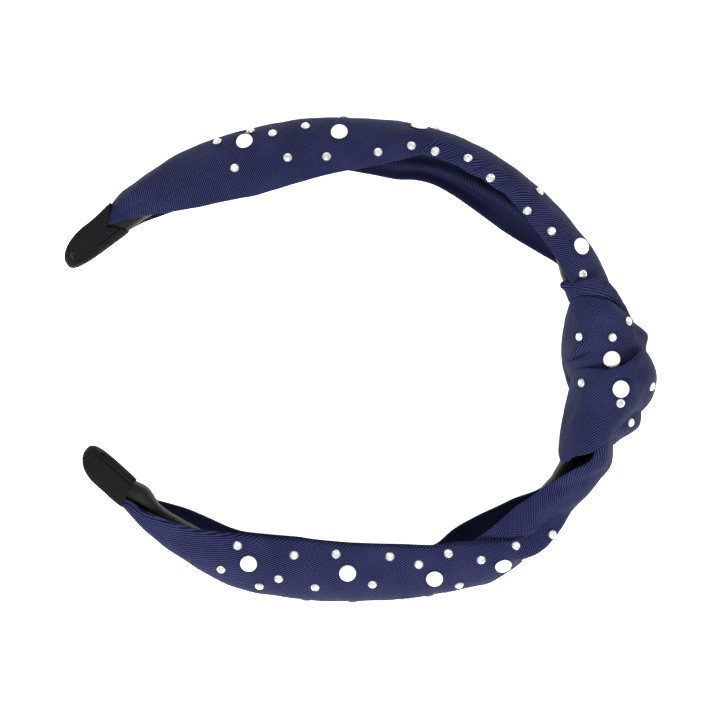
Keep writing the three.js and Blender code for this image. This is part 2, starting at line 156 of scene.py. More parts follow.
def new_object(name, points, faces, materials, lay=None, marks=None, smooth=True):
    """An object from points in mm; lay holds a vector for each point, the cloth's own
    coordinates in mm, and marks the material of each face."""
    mesh = bpy.data.meshes.new(name)
    mesh.from_pydata((np.asarray(points) * MM).tolist(), [], [tuple(map(int, f)) for f in faces])
    mesh.update()
    for material in materials:
        mesh.materials.append(material)
    if marks is not None:
        mesh.polygons.foreach_set("material_index", np.asarray(marks, dtype=np.int32))
    if lay is not None:
        layer = mesh.attributes.new("lay", "FLOAT_VECTOR", "POINT")
        layer.data.foreach_set("vector", np.asarray(lay, np.float32).ravel())
    mesh.polygons.foreach_set("use_smooth", [smooth] * len(mesh.polygons))
    piece = bpy.data.objects.new(name, mesh)
    bpy.context.scene.collection.objects.link(piece)
    return piece


def carry(piece, slot, *nodes):
    """Puts a piece on the root body and hides the frame's nodes that it stands for. The slot is not used.
    """
    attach(piece, "root")
    if nodes:
        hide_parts(*nodes)
    return piece


def outward(points, faces):
    """The faces, turned round if they enclose a negative volume."""
    p = np.asarray(points)
    volume = 0.0
    for size in {len(f) for f in faces}:
        group = np.array([f for f in faces if len(f) == size])
        for j in range(1, size - 1):
            a, b, c = p[group[:, 0]], p[group[:, j]], p[group[:, j + 1]]
            volume += (a * np.cross(b, c)).sum()
    return faces if volume > 0 else [tuple(f[::-1]) for f in faces]


def loop_faces(rows, loop, ring=False):
    """Quads between rows of `loop` points each; with ring, the last row meets the first."""
    r = np.arange(rows if ring else rows - 1)[:, None]
    c = np.arange(loop)[None, :]
    a = r * loop + c
    b = r * loop + (c + 1) % loop
    down = ((r + 1) % rows) * loop
    quads = np.stack([a, b, down + (c + 1) % loop, down + c], axis=-1).reshape(-1, 4)
    return [tuple(q) for q in quads.tolist()]


def capped_faces(rows, loop):
    """Quads between rows of `loop` points each, and a face over either end."""
    size = rows * loop
    return loop_faces(rows, loop) + [tuple(range(loop))[::-1], tuple(range(size - loop, size))]


def joined(bodies):
    """The points and faces of several bodies as those of one."""
    points, faces, start = [], [], 0
    for p, f in bodies:
        points.append(p)
        faces += [tuple(start + i for i in face) for face in f]
        start += len(p)
    return np.concatenate(points), faces


RIM = 4              # points on the round of a sheet's edge


def shell(mid, thick, lay, away, ring=False):
    """A closed body round a grid of mid points (rows, columns, 3), with round side edges.

    lay is (rows, columns, 2) and away a grid of directions that face outwards.
    """
    rows, cols = mid.shape[:2]
    down = np.gradient(mid, axis=0)
    if ring:
        down[0] = down[-1] = (mid[1] - mid[-1]) / 2
    normal = unit(np.cross(down, np.gradient(mid, axis=1)))
    if (normal * away).sum() < 0:
        normal = -normal
    half = thick / 2
    turns = np.linspace(0, math.pi, RIM + 2)[1:-1]

    def rim(column, beyond):
        """The round of one side edge and its lay, from the outer side to the inner."""
        edge = unit(mid[:, column] - mid[:, beyond])
        step = unit(lay[:, column] - lay[:, beyond])
        places = [mid[:, column] + half * (normal[:, column] * math.cos(t) + edge * math.sin(t))
                  for t in turns]
        lays = [np.concatenate([lay[:, column] + step * half * math.sin(t),
                                np.full((rows, 1), math.cos(t))], axis=-1) for t in turns]
        return np.stack(places, 1), np.stack(lays, 1)

    last, last_lay = rim(cols - 1, cols - 2)
    first, first_lay = rim(0, 1)
    one = np.ones((rows, cols, 1))
    top, under = (np.concatenate([lay, side * one], axis=-1) for side in (1, -1))
    outer, inner = mid + normal * half, mid - normal * half
    loop = np.concatenate([outer, last, inner[:, ::-1], first[:, ::-1]], axis=1)
    lays = np.concatenate([top, last_lay, under[:, ::-1], first_lay[:, ::-1]], axis=1)
    count = loop.shape[1]
    faces = loop_faces(rows, count, ring)
    if not ring:
        back = [cols + RIM + (cols - 1 - j) for j in range(cols)]
        for row in (0, rows - 1):
            start = row * count
            caps = [[j, j + 1, back[j + 1], back[j]] for j in range(cols - 1)]
            caps.append([cols - 1] + list(range(cols, cols + RIM)) + [cols + RIM])
            caps.append([back[0]] + list(range(2 * cols + RIM, count)) + [0])
            for cap in caps:
                face = tuple(start + j for j in cap)
                faces.append(face if row else face[::-1])
    points = loop.reshape(-1, 3)
    return points, outward(points, faces), lays.reshape(-1, 3)


def lie_on_floor(points):
    return np.maximum(points, (-math.inf, -math.inf, 0.0))


def lengths(mid, axis):
    """Running length along one axis of a grid, measured at every row or column."""
    steps = np.linalg.norm(np.diff(mid, axis=axis), axis=-1)
    zero = np.zeros_like(np.take(steps, [0], axis=axis))
    return np.concatenate([zero, np.cumsum(steps, axis=axis)], axis=axis)


def ripple(a, b, seed):
    """A gentle unevenness of cloth between -1 and 1, the same on every run."""
    return (np.sin(0.31 * a + 1.7 * seed) * np.sin(0.43 * b + 0.9 * seed)
            + 0.6 * np.sin(0.83 * a - 0.35 * b + 2.3 * seed)
            + 0.4 * np.sin(0.21 * a + 0.71 * b + 4.1 * seed)) / 2


def crease(a, b, start, end, width, depth):
    """A soft ridge (or with a negative depth a furrow) from start to end in (a, b)."""
    ax, ay = start
    dx, dy = end[0] - ax, end[1] - ay
    t = np.clip(((a - ax) * dx + (b - ay) * dy) / (dx * dx + dy * dy), 0, 1)
    gap = np.hypot(a - ax - t * dx, b - ay - t * dy)
    fade = np.sin(np.pi * np.clip(0.12 + 0.76 * t, 0, 1))
    return depth * fade * np.exp(-(gap / width) ** 2)


# ---------------------------------------------------------------- the strap

# Rows of: distance from the crown, how far outside the hoop the crest lies, how far outside
# the near flap's edge lies and how high, how far outside the far flap's edge lies and how deep.
STRAP_UPPER = (
    (4, 7, 3.5, 11, 3.5, 11), (13, 7.8, 2.6, 9.8, 2.6, 9.8), (19, 8.8, 1.2, 9.5, 1.0, 9.6),
    (22, 8.6, -1.2, 9.4, 0, 10), (24, 8.3, -1.9, 9.6, -0.3, 10.6), (28, 7.8, -2.4, 10, -1, 12),
    (34, 6.9, -2.6, 10.3, -3.6, 13.8), (40, 6.8, -2.2, 10.3, -5.4, 15),
    (46, 7.2, -1.2, 10.1, -6.2, 15.5), (52, 7.8, 0, 9.8, -6.1, 15.6),
    (58, 8.3, 0.4, 9.6, -5.5, 15.6), (64, 8.8, 0.9, 9.6, -4.5, 15.6), (70, 9.3, 1.6, 9.6, -3.6, 15.6),
    (75, 9.3, 1.3, 9.8, -3.7, 15.6), (80, 9.3, -1.1, 10.2, -4.5, 15.6), (88, 9.1, -4.1, 10.8, -4.2, 15.6),
    (96, 8.7, -6.1, 11, -3.8, 15.6), (107, 8.4, -8.4, 11, -6.2, 15.6), (114, 8.1, -9.4, 11, -6.8, 15.5),
    (121, 7.9, -9.7, 11, -7, 15), (133, 8.3, -7.8, 10.6, -5.4, 14), (141, 7.8, -5.4, 9.6, -3.6, 12),
    (147, 7.8, -2.5, 8.2, -2.2, 10), (151, 7.7, -0.4, 6.4, -1.4, 7.4), (155, 6.7, 1.2, 4.5, -0.8, 4.5),
    (158, 5.6, 2.0, 4.3, 0.4, 4.0), (161, 5.0, 3.0, 4.1, 1.6, 3.7), (164, 4.6, 3.2, 3.6, 1.8, 3.6),
)
STRAP_LOWER = (
    (3, 7, 4.5, 12, 3.5, 10.5), (14, 9.2, 4.8, 12.6, 2.4, 10.2), (17, 10.6, 5, 12.2, 2.2, 10.2),
    (21, 11.4, 5.2, 11.2, 1.8, 10.6), (25.6, 9.6, 1.3, 10.4, 0.2, 11.8), (29.7, 8.6, -1, 10.2, -0.4, 13),
    (33.1, 8.1, -2.3, 10.4, -0.8, 14), (39, 8.9, -3.3, 9.8, -3.3, 15), (42, 9.4, -3.6, 9.4, -4.1, 15.4),
    (50, 10.2, -2.4, 8.4, -5.1, 15.6), (56, 10.6, -1.3, 7.4, -5, 15.6), (60, 9.9, 0, 6.8, -4.3, 15.6),
    (66, 9.3, 1.5, 6.4, -2.2, 15.6), (75, 8.9, 2, 6.4, -3.4, 15.6), (88, 8.4, 2, 6.4, -5, 15.6),
    (102, 8.5, 2, 6.4, -6.4, 15.6), (112, 8.6, 2.4, 6.4, -5.6, 15.2), (119, 8.1, 3, 6.2, -4.6, 14.6),
    (129, 7, 3.4, 6, -4.4, 13.4), (136, 6.4, 3.8, 5.4, -3.6, 11), (143, 5.7, 4, 4.6, -1.3, 8.6),
    (147, 5.1, 3.4, 3.8, 1, 5), (149.5, 4.4, 3.2, 3.4, 1.6, 3.6), (152.5, 3.6, 2.6, 3, 1.6, 3),
)
# The studded fold that lies over the lower strap's near flap: distance from the crown, how far
# outside the hoop its edge lies and how high.
FOLD_LOWER = (
    (3, 4, 5), (30, 5.5, 9.8), (38, 6.4, 10.2), (43, 4.4, 10.5), (49.6, 1.1, 10.8), (55.7, -1.4, 10.9),
    (60, -3, 11), (66, -4, 11), (75, -6, 11), (88, -7.4, 11), (102, -8, 11), (110, -6.9, 11),
    (118, -5.8, 10.9), (128, -2.9, 10), (132, -1.6, 9.6), (138, 0, 8.2), (143, 1.3, 6.6), (147, 2, 4.8),
    (152.5, 2.8, 3.4),
)
FOLD_TURN = math.pi / 2 * 1.08       # each flap turns a little more than a right angle
STRAP_PITCH = 0.8                    # between the rows of the strap's grid
FLAP_COLUMNS = 38
FOLD_SHARE = 0.62                    # the share of the lower near flap's columns in the fold
FLAP_UNIT = 18.0                     # what a whole flap counts as where creases are placed
FOLD_BEGINS = (37, 49)               # over which distance the lower near flap starts to fold
FOLD_DEEP = 3.2                      # the most that the cloth goes back under its fold
FOLD_DEEP_SHARE = 0.3                # and its share of the fold's width
# How far back the cloth has gone, as a share of that depth, along its way under the fold.
UNDER_FOLD = ((0, 0), (0.12, 0.4), (0.3, 0.75), (0.5, 1.0), (0.7, 0.98), (1.0, 0.0))
STRAP_UNEVEN = 0.16                  # the height of the strap's gentle unevenness
STRAP_SEED = {UPPER: 1.0, LOWER: 2.0}
TWILL_UPPER, TWILL_LOWER = 45, 30    # the twill's slant to the strap, in degrees


def twill_lay(a, b, slant):
    """Cloth coordinates with x across the twill's lines and y along them."""
    s, c = math.sin(math.radians(slant)), math.cos(math.radians(slant))
    return np.stack([a * s + b * c, b * s - a * c], axis=-1)


def flap(crest, edge, reach, share):
    """A flap's mid line as (out, high) from the crest at share 0 to its edge at 1."""
    turn = share * FOLD_TURN
    drop = (1 - np.cos(turn)) / (1 - math.cos(FOLD_TURN))
    rise = np.sin(turn) / math.sin(FOLD_TURN)
    half = CLOTH / 2
    return lerp(crest - half, edge + half, drop), (reach - half * np.sign(reach)) * rise


def under_fold(edge_out, edge_high, low_out, low_high, deep, u):
    """The line from the fold's edge back under it and out again to the flap below."""
    back = np.interp(u, *zip(*UNDER_FOLD))
    sink = smoothstep(0.0, 0.22, u)
    out = lerp(edge_out, low_out, smoothstep(0.45, 1.0, u)) + deep * back
    return out, lerp(edge_high, lerp(edge_high - 1.5, low_high, smoothstep(0.2, 1, u)), sink)


def near_flap_lower(at, share, crest, edge, reach):
    """The lower near flap: one sheet by the knot that folds over itself further on."""
    fold_out, fold_high = (v[:, None] for v in through(FOLD_LOWER, at))
    plain_out, plain_high = flap(crest, edge, reach, share)
    top = np.minimum(share / FOLD_SHARE, 1)
    fold = flap(crest, fold_out, fold_high, top)
    u = np.clip((share - FOLD_SHARE) / (1 - FOLD_SHARE), 0, 1)
    edge_out, edge_high = flap(crest, fold_out, fold_high, np.ones_like(top))
    deep = np.clip(FOLD_DEEP_SHARE * (crest - fold_out), 0, FOLD_DEEP)
    low = under_fold(edge_out, edge_high, edge + CLOTH / 2, reach, deep, u)
    folded = [np.where(share <= FOLD_SHARE, f, g) for f, g in zip(fold, low)]
    how = smoothstep(*FOLD_BEGINS, at)[:, None]
    return lerp(plain_out, folded[0], how), lerp(plain_high, folded[1], how)


# Soft ridges (+) and furrows (-): start and end as (distance from the crown, place across the
# strap in units of FLAP_UNIT to a flap, + on the near flap), then width and height.
CREASES_UPPER = (
    ((71, 12.5), (75, 17.8), 1.0, 0.7), ((62, 13), (65.5, 17.8), 1.0, 1.0),
    ((67, 12.5), (69.5, 17.8), 0.9, -0.9), ((56, 11.5), (59, 17.8), 1.1, 1.1),
    ((59.5, 12.5), (62, 17.8), 0.8, -0.9), ((48, 12), (51.5, 17.8), 1.1, 0.9),
    ((52.5, 11.5), (55, 17.8), 0.9, -0.9), ((43, 12.5), (46, 17.8), 1.0, -0.6),
    ((36, 6), (44, 16), 2.4, 0.45), ((26, 3), (33, 14), 2.6, 0.5), ((86, 14.5), (74, 7), 2.4, 0.7),
    ((90, 16.5), (80, 11), 1.8, -0.6), ((38, -11.2), (62, -12.4), 1.1, -2.8),
    ((56, -12.2), (84, -14.8), 1.1, -2.8), ((44, -8), (70, -8.6), 2.2, 0.9),
    ((50, -15.6), (84, -16.6), 1.2, 0.9),
    ((134, 4), (154, 11), 2.6, 0.6), ((140, 12), (156, 14), 1.6, -0.5), ((104, 5), (120, 12), 5, 0.4),
    ((20, 8), (24, 16), 1.6, -0.5), ((145, 2.6), (161, 4.4), 0.7, -1.3),
)
CREASES_LOWER = (
    ((34, 4.4), (50, 7.2), 1.5, 1.7), ((36, 8.6), (49, 9.8), 1.5, -1.4),
    ((40, 1), (56, 3.2), 1.6, -0.7), ((24, 2), (34, 9), 2.4, 0.5),
    ((20, 6), (30, 15), 2.2, -0.5), ((58, 3), (72, 5), 3.2, 0.5), ((84, 4), (98, 8), 4, 0.4),
    ((112, 3), (132, 5), 3.4, 0.6), ((120, 8), (140, 8), 2, -0.5), ((50, -13), (62, -9), 2.2, 0.7),
    ((24, -12), (40, -15), 2, 0.8), ((130, 3), (146, 6), 1.8, 0.5), ((28, 12), (44, 16), 1.4, 0.6),
)


def strap(name, rows, side, creases, slant, materials):
    """One arm's cloth: a near and a far flap that hang from the crest outside the hoop."""
    at = np.arange(rows[0][0], rows[-1][0] + STRAP_PITCH / 2, STRAP_PITCH)
    crest, near, high, far, deep = (v[:, None] for v in through(rows, at))
    share = np.linspace(0, 1, FLAP_COLUMNS)[None, :]
    if side == LOWER:
        near_line = near_flap_lower(at, share, crest, near, high)
    else:
        near_line = flap(crest, near, high, share)
    far_line = flap(crest, far, -deep, share)
    out, tall = (np.concatenate([f[:, :0:-1], n], axis=1) for f, n in zip(far_line, near_line))
    mid = at_hoop(side * at[:, None], out, tall)
    place = np.concatenate([-share[0, :0:-1], share[0]]) * FLAP_UNIT
    a, b = np.broadcast_arrays(at[:, None], place[None, :])
    lift = STRAP_UNEVEN * ripple(a, b, STRAP_SEED[side])
    for start, end, width, height in creases:
        lift = lift + crease(a, b, start, end, width, height)
    away = unit(mid - at_hoop(side * at[:, None], -4, 0))
    mid = mid + away * lift[..., None]
    across = lengths(mid, 1)
    across -= across[:, [FLAP_COLUMNS - 1]]
    if side == UPPER:
        across = -across
    away = mid - at_hoop(side * at[:, None], -2, 0)
    points, faces, lays = shell(mid, CLOTH, twill_lay(a, across, slant), away)
    return new_object(name, lie_on_floor(points), faces, materials, lays)


# ---------------------------------------------------------------- the knot

# Each band winds round the hoop: wind is the angle round it in degrees, 0 outside, 90 near and
# 180 at the head. Rows of: wind, lower and upper edge along the hoop. The far half repeats the
# near one, turned half round about the line through the knot's middle. Only the lower collar's
# rows give both halves, and they count the angle the other way, + towards the far side.
BAND_OVER = (
    (0, -8.6, 5.2), (20, -8.2, 4.9), (34, -8.0, 4.6), (46, -8.5, 4.0), (58, -10.2, 2.8), (67, -11.6, 1.9),
    (77, -13.5, 0.9), (90, -16.4, 0.2), (102, -18.6, 0.0), (115, -20.0, 0.1), (126, -20.9, 0.2),
    (134, -22.2, 0.1), (141, -23.7, -0.2), (150, -22.8, -1.0), (162, -20.6, -2.8),
)
BAND_UNDER = (
    (0, 1.5, 9.5), (20, 0, 9.9), (34, -2, 10.9), (47, -2, 12.5), (61, -2.2, 14.2), (73, -2.6, 15.8),
    (88, -3, 16.9), (106, -3.6, 17.9), (124, -4, 18.2), (138, -4.0, 17.8), (152, -3.4, 17.0),
    (166, -1.8, 15.6), (180, -1.0, 12.0),
)
BAND_COLLAR_UPPER = (
    (10, 8.4, 11.6), (19, 8.8, 12.0), (29, 9.4, 13.4), (38, 10, 15.2), (46, 10.8, 17), (53, 11.8, 18.7),
    (62, 12.6, 20.3), (75, 13.2, 21.5), (88, 13.8, 22.0), (107, 14.9, 22.2), (120, 15.6, 22.2),
    (129, 16.4, 22.0), (137, 17.0, 22.8), (143, 18.0, 23.3), (150, 18.2, 21.8),
)
BAND_COLLAR_LOWER = (
    (-66, -17.4, -9), (-54, -16.8, -8), (-43, -16.4, -7.2), (-25, -16.0, -6.4), (0, -15.8, -6),
    (20, -16.2, -6.4), (40, -17.0, -8), (53, -17.8, -10.4), (62, -18.6, -11.8), (75, -19.8, -12.8),
    (88, -20.6, -13.8), (107, -21.2, -14.9), (128, -20.6, -16.0),
)
BAND_STEP = 2.0                      # degrees between a band's rows
BAND_COLUMNS = 44
BAND_UNEVEN = 0.12                   # the height of a band's gentle unevenness
BAND_SEED = 3.0
TUCK_WIND = (118, 150)               # where on the far half its end sinks in
DIP_WIND, DIP_SPREAD = -150, 14      # where the far half dips near the head
# centre: the middle along the hoop that the far half turns about. offset, out, head and tall: the
# oval round the hoop, with deep for tall on the far side. crown: how far the middle stands over
# the edges, and outer: there at the outside. lip: how far its upper edge stands up. hug: how far
# its lower edge sinks in. tuck: how far the far half's end sinks in, and dip: how far the far half
# does near the head. slant: the twill's. whole: its rows give both halves.
PLAIN_BAND = dict(centre=0, lip=0, hug=0, tuck=0, dip=0, whole=False)
KNOT = {
    "over": dict(PLAIN_BAND, rows=BAND_OVER, centre=-1.5, offset=6.2, out=8.3, head=9.1, tall=15.8,
                 deep=15.8, crown=1.2, outer=3.6, lip=1.5, tuck=2.6, thick=1.5, start=-158, end=160,
                 slant=47),
    "under": dict(PLAIN_BAND, rows=BAND_UNDER, centre=5.5, offset=4.0, out=9.4, head=6.8, tall=12.9,
                  deep=12.9, crown=2.1, outer=2.0, lip=0.5, dip=1.6, thick=1.4, start=-180, end=180,
                  slant=44),
    "collar_upper": dict(PLAIN_BAND, rows=BAND_COLLAR_UPPER, offset=3.4, out=9.1, head=6.4,
                         tall=11.6, deep=11.6, crown=0.5, outer=0.5, thick=1.2, start=10, end=149,
                         slant=156),
    "collar_lower": dict(PLAIN_BAND, rows=BAND_COLLAR_LOWER, offset=3.4, out=11.0, head=6.4,
                         tall=13.2, deep=11.0, crown=0.6, outer=1.2, hug=5.4, thick=1.2, start=-64,
                         end=118, slant=156, whole=True),
}
# Soft ridges and furrows on the bands, as (wind, distance along the hoop in mm) start and end,
# the width in mm and the height; a degree of wind counts as WIND_UNIT mm.
WIND_UNIT = 0.22
CREASES_KNOT = {
    "over": (((58, -8), (100, -18), 2.0, -0.5), ((120, -5), (135, -17), 3.0, 0.7),
             ((70, -3.5), (125, -5.5), 2.4, 0.6), ((24, -6), (60, -3), 1.6, -0.7),
             ((100, -8), (150, -12), 1.8, -0.5), ((20, 0), (60, -1), 2.2, 0.5)),
    "under": (((150, 2.6), (116, 4.6), 0.8, -1.3), ((116, 4.6), (84, 4.6), 1.1, -0.8),
              ((142, 4.8), (118, 7.0), 1.2, 0.8), ((135, 16), (100, 9), 2.4, 0.6),
              ((60, 12), (96, 15), 2.0, 0.6), ((2, 7.6), (28, 9.2), 1.3, 1.4),
              ((40, 5), (64, 4), 1.2, -0.6), ((60, 8), (110, 11), 2.2, -0.4)),
    "collar_upper": (((60, 17), (110, 20.5), 1.2, 0.6), ((40, 13), (75, 17), 0.9, -0.5),
                     ((138, 23.1), (150, 22.6), 1.1, 1.8)),
    "collar_lower": (((60, -17), (110, -20.5), 1.2, 0.5),),
}


def knot_band(name, key, materials):
    """A strip of cloth wound round the hoop as KNOT says."""
    band = KNOT[key]
    turns = np.arange(band["start"], band["end"] + BAND_STEP / 2, BAND_STEP)
    ring = band["end"] - band["start"] == 360
    if ring:
        turns = turns[:-1]
    x = np.linspace(-1, 1, BAND_COLUMNS)[None, :]
    lower, upper = through(band["rows"], turns if band["whole"] else np.abs(turns))
    far = (turns < 0) & (not band["whole"])
    lower, upper = (np.where(far, 2 * band["centre"] - upper, lower),
                    np.where(far, 2 * band["centre"] - lower, upper))
    along = lerp(lower[:, None], upper[:, None], (x + 1) / 2)
    side = -1 if band["whole"] else 1
    wind = side * np.radians(turns)[:, None]
    folded = np.where(far, -1.0, 1.0)[:, None]
    a = np.abs(turns)[:, None] * WIND_UNIT + 0 * along
    b = (along - band["centre"]) * folded + band["centre"]
    outside = ((1 + np.cos(wind)) / 2) ** 2
    lift = lerp(band["crown"], band["outer"], outside) * (1 - np.abs(x) ** 2.3)
    shown = smoothstep(10, 40, np.abs(turns)) * smoothstep(162, 140, np.abs(turns))
    lift = lift + band["lip"] * smoothstep(0.45, 1.0, x * folded) * shown[:, None]
    lift = lift - band["dip"] * np.exp(-((turns - DIP_WIND) / DIP_SPREAD) ** 2)[:, None]
    lift = lift - band["tuck"] * smoothstep(*TUCK_WIND, -turns)[:, None]
    hug = np.minimum(0.78 - 0.3 * np.sin(wind), 0.85) * smoothstep(-0.1, 1, -x)
    lift = lift - band["hug"] * hug * smoothstep(125, 60, np.abs(turns))[:, None]
    lift = lift + BAND_UNEVEN * ripple(5 * a, 1.3 * b, BAND_SEED)
    for start, end, width, height in CREASES_KNOT[key]:
        start = (start[0] * WIND_UNIT, start[1])
        end = (end[0] * WIND_UNIT, end[1])
        lift = lift + crease(a, b, start, end, width, height)
    round_out = lerp(band["head"], band["out"], (1 + np.cos(wind)) / 2)
    out = band["offset"] + (round_out + lift) * np.cos(wind)
    tall = np.where(wind < 0, band["deep"], band["tall"])
    high = (tall + lift) * np.sin(wind)
    mid = at_hoop(along, out, high)
    away = mid - at_hoop(along, band["offset"], 0)
    run = lengths(mid, 0)[:, [BAND_COLUMNS // 2]]
    lay = twill_lay(run + 0 * along, along * side, band["slant"])
    points, faces, lays = shell(mid, band["thick"], lay, away, ring)
    return new_object(name, lie_on_floor(points), faces, materials, lays)


# ---------------------------------------------------------------- the hoop's satin sleeve

# Rows of: distance along the hoop, how far outside the sleeve's middle lies, half its depth
# and half its width.
SLEEVE = (
    (-160, 0.9, 1.5, 4.3), (-150.5, 0.2, 2.4, 4.4), (-147, -0.5, 2.5, 4.6), (-144, -0.2, 2.2, 4.4),
    (-141, 0.1, 1.7, 4.2), (-130, 0, 1.7, 4.2), (-66, 0, 1.7, 4.2), (-57, 1.3, 1.7, 4.2),
    (-48, 0.9, 1.7, 4.2), (-38, 0, 1.7, 4.2), (-22, 1.2, 2.2, 4.6), (0, 1.4, 2.0, 4.2),
    (21, -0.2, 2.0, 4.4), (27, -0.5, 1.9, 4.3), (35, 1.2, 1.7, 4.2), (45, 3.2, 1.7, 4.2),
    (60, 3.8, 1.7, 4.2), (75, 4.0, 1.7, 4.2), (84, 2.2, 1.7, 4.2), (95, 0, 1.7, 4.2),
    (140, 0, 1.7, 4.2), (150, 0.4, 1.8, 4.2), (158, 1.0, 2.1, 4.2), (166, 1.4, 1.4, 4.0),
)
SLEEVE_SIDES = 40
SLEEVE_OVAL = 0.7                    # the squareness of its section
PUCKER, SLACK = 0.10, 0.12           # heights of the satin's fine and broad unevenness
SLEEVE_SEED = 5.0
SLEEVE_PITCH = 0.9


def rounded(angle, squareness):
    """Cosine and sine of an oval that bulges towards a rectangle as squareness nears 0."""
    c, s = np.cos(angle), np.sin(angle)
    return np.sign(c) * np.abs(c) ** squareness, np.sign(s) * np.abs(s) ** squareness


def tube_shell(outer, inner):
    """A closed body between two grids of rings, open at both ends."""
    rows, count = outer.shape[:2]
    points = np.concatenate([outer.reshape(-1, 3), inner.reshape(-1, 3)])
    size = rows * count
    faces = loop_faces(rows, count)
    faces += [tuple(size + i for i in f[::-1]) for f in loop_faces(rows, count)]
    for row in (0, rows - 1):
        for j in range(count):
            a, b = row * count + j, row * count + (j + 1) % count
            face = (a, size + a, size + b, b)
            faces.append(face[::-1] if row else face)
    return points, outward(points, faces)


def sleeve(name, materials):
    along = np.arange(SLEEVE[0][0], SLEEVE[-1][0], SLEEVE_PITCH)[:, None]
    middle, deep, wide = (v[:, None] for v in through(SLEEVE, along[:, 0]))
    angle = np.linspace(0, 2 * math.pi, SLEEVE_SIDES, endpoint=False)[None, :]
    c, s = rounded(angle, SLEEVE_OVAL)
    pucker = PUCKER * np.sin(2.1 * along + 3 * np.sin(0.37 * along)) * np.abs(s) ** 2
    slack = SLACK * ripple(1.6 * along, 5 * angle, SLEEVE_SEED)
    outer = at_hoop(along, middle + (deep + pucker + slack) * c, (wide + slack) * s)
    inner = at_hoop(along, middle + (deep - SATIN) * c, (wide - SATIN) * s)
    points, faces = tube_shell(outer, inner)
    around = angle * wide.mean() * 0.7
    one = np.stack([along + 0 * around, around + 0 * along, 1 + 0 * (along + around)], axis=-1)
    lay = np.concatenate([one.reshape(-1, 3), (one * (1, 1, -1)).reshape(-1, 3)])
    return new_object(name, points, faces, materials, lay)


CORE_DEEP, CORE_WIDE = 0.7, 3.5      # half the spring's thickness and half its width
CORE_END = {UPPER: 165.0, LOWER: 157.0}
CORE_SIDES = 20
BOXY = 0.5           # the squareness of the spring's section and the covers'


def core(name, materials):
    """The flat spring inside the sleeve."""
    along = np.arange(-CORE_END[LOWER], CORE_END[UPPER], SLEEVE_PITCH)[:, None]
    middle = through(SLEEVE, along[:, 0])[0][:, None]
    angle = np.linspace(0, 2 * math.pi, CORE_SIDES, endpoint=False)[None, :]
    c, s = rounded(angle, BOXY)
    points = at_hoop(along, middle + CORE_DEEP * c, CORE_WIDE * s).reshape(-1, 3)
    return new_object(name, points, outward(points, capped_faces(len(along), CORE_SIDES)), materials)


# ---------------------------------------------------------------- the ribbed tip covers

# head and outside: how far outside the hoop the cover's two faces lie; slant: how much further
# along its outer side the mouth lies than its middle; notch: how deep its near side is cut in
# at the mouth; flare: how much it widens outwards there; half: half its width; round: the length
# of its round end and close: where that closes; pole: the direction from the start of the
# round end, as shares, to where the ribs run together.
COVER = {
    UPPER: dict(head=-1.6, outside=6.3, slant=-0.4, notch=3.9, flare=0.9, half=5.4, round=10.0,
                close=0.8, pole=(0.73, 0.0, 0.68)),
    LOWER: dict(head=-2.8, outside=5.1, slant=-0.9, notch=0, flare=0, half=5.4, round=7.6,
                close=-0.4, pole=(0.55, -0.38, 0.74)),
}
COVER_WALL = 0.6
RIB_PITCH = 0.62
RIB_HEIGHT = 0.16
RIB_COLUMNS = 7
COVER_ROWS = 34
CAP_ROWS = 40
INNER_ROWS, INNER_CAP_ROWS = 10, 12
SEAM_DEPTH, SEAM_PLACE, SEAM_WIDTH = 0.30, -0.66, 0.06
LIP_DEPTH, LIP_WIDTH = 0.15, 0.9
FLARE_LENGTH = 7.0


def even_angles(deep, tall, count):
    """The angles at which points lie at even distances round a cover's section."""
    angle = np.linspace(0, 2 * math.pi, 4001)
    c, s = rounded(angle, BOXY)
    steps = np.hypot(np.diff(deep * c), np.diff(tall * s))
    run = np.concatenate([[0], np.cumsum(steps)])
    return np.interp(np.arange(count) * run[-1] / count, run, angle)


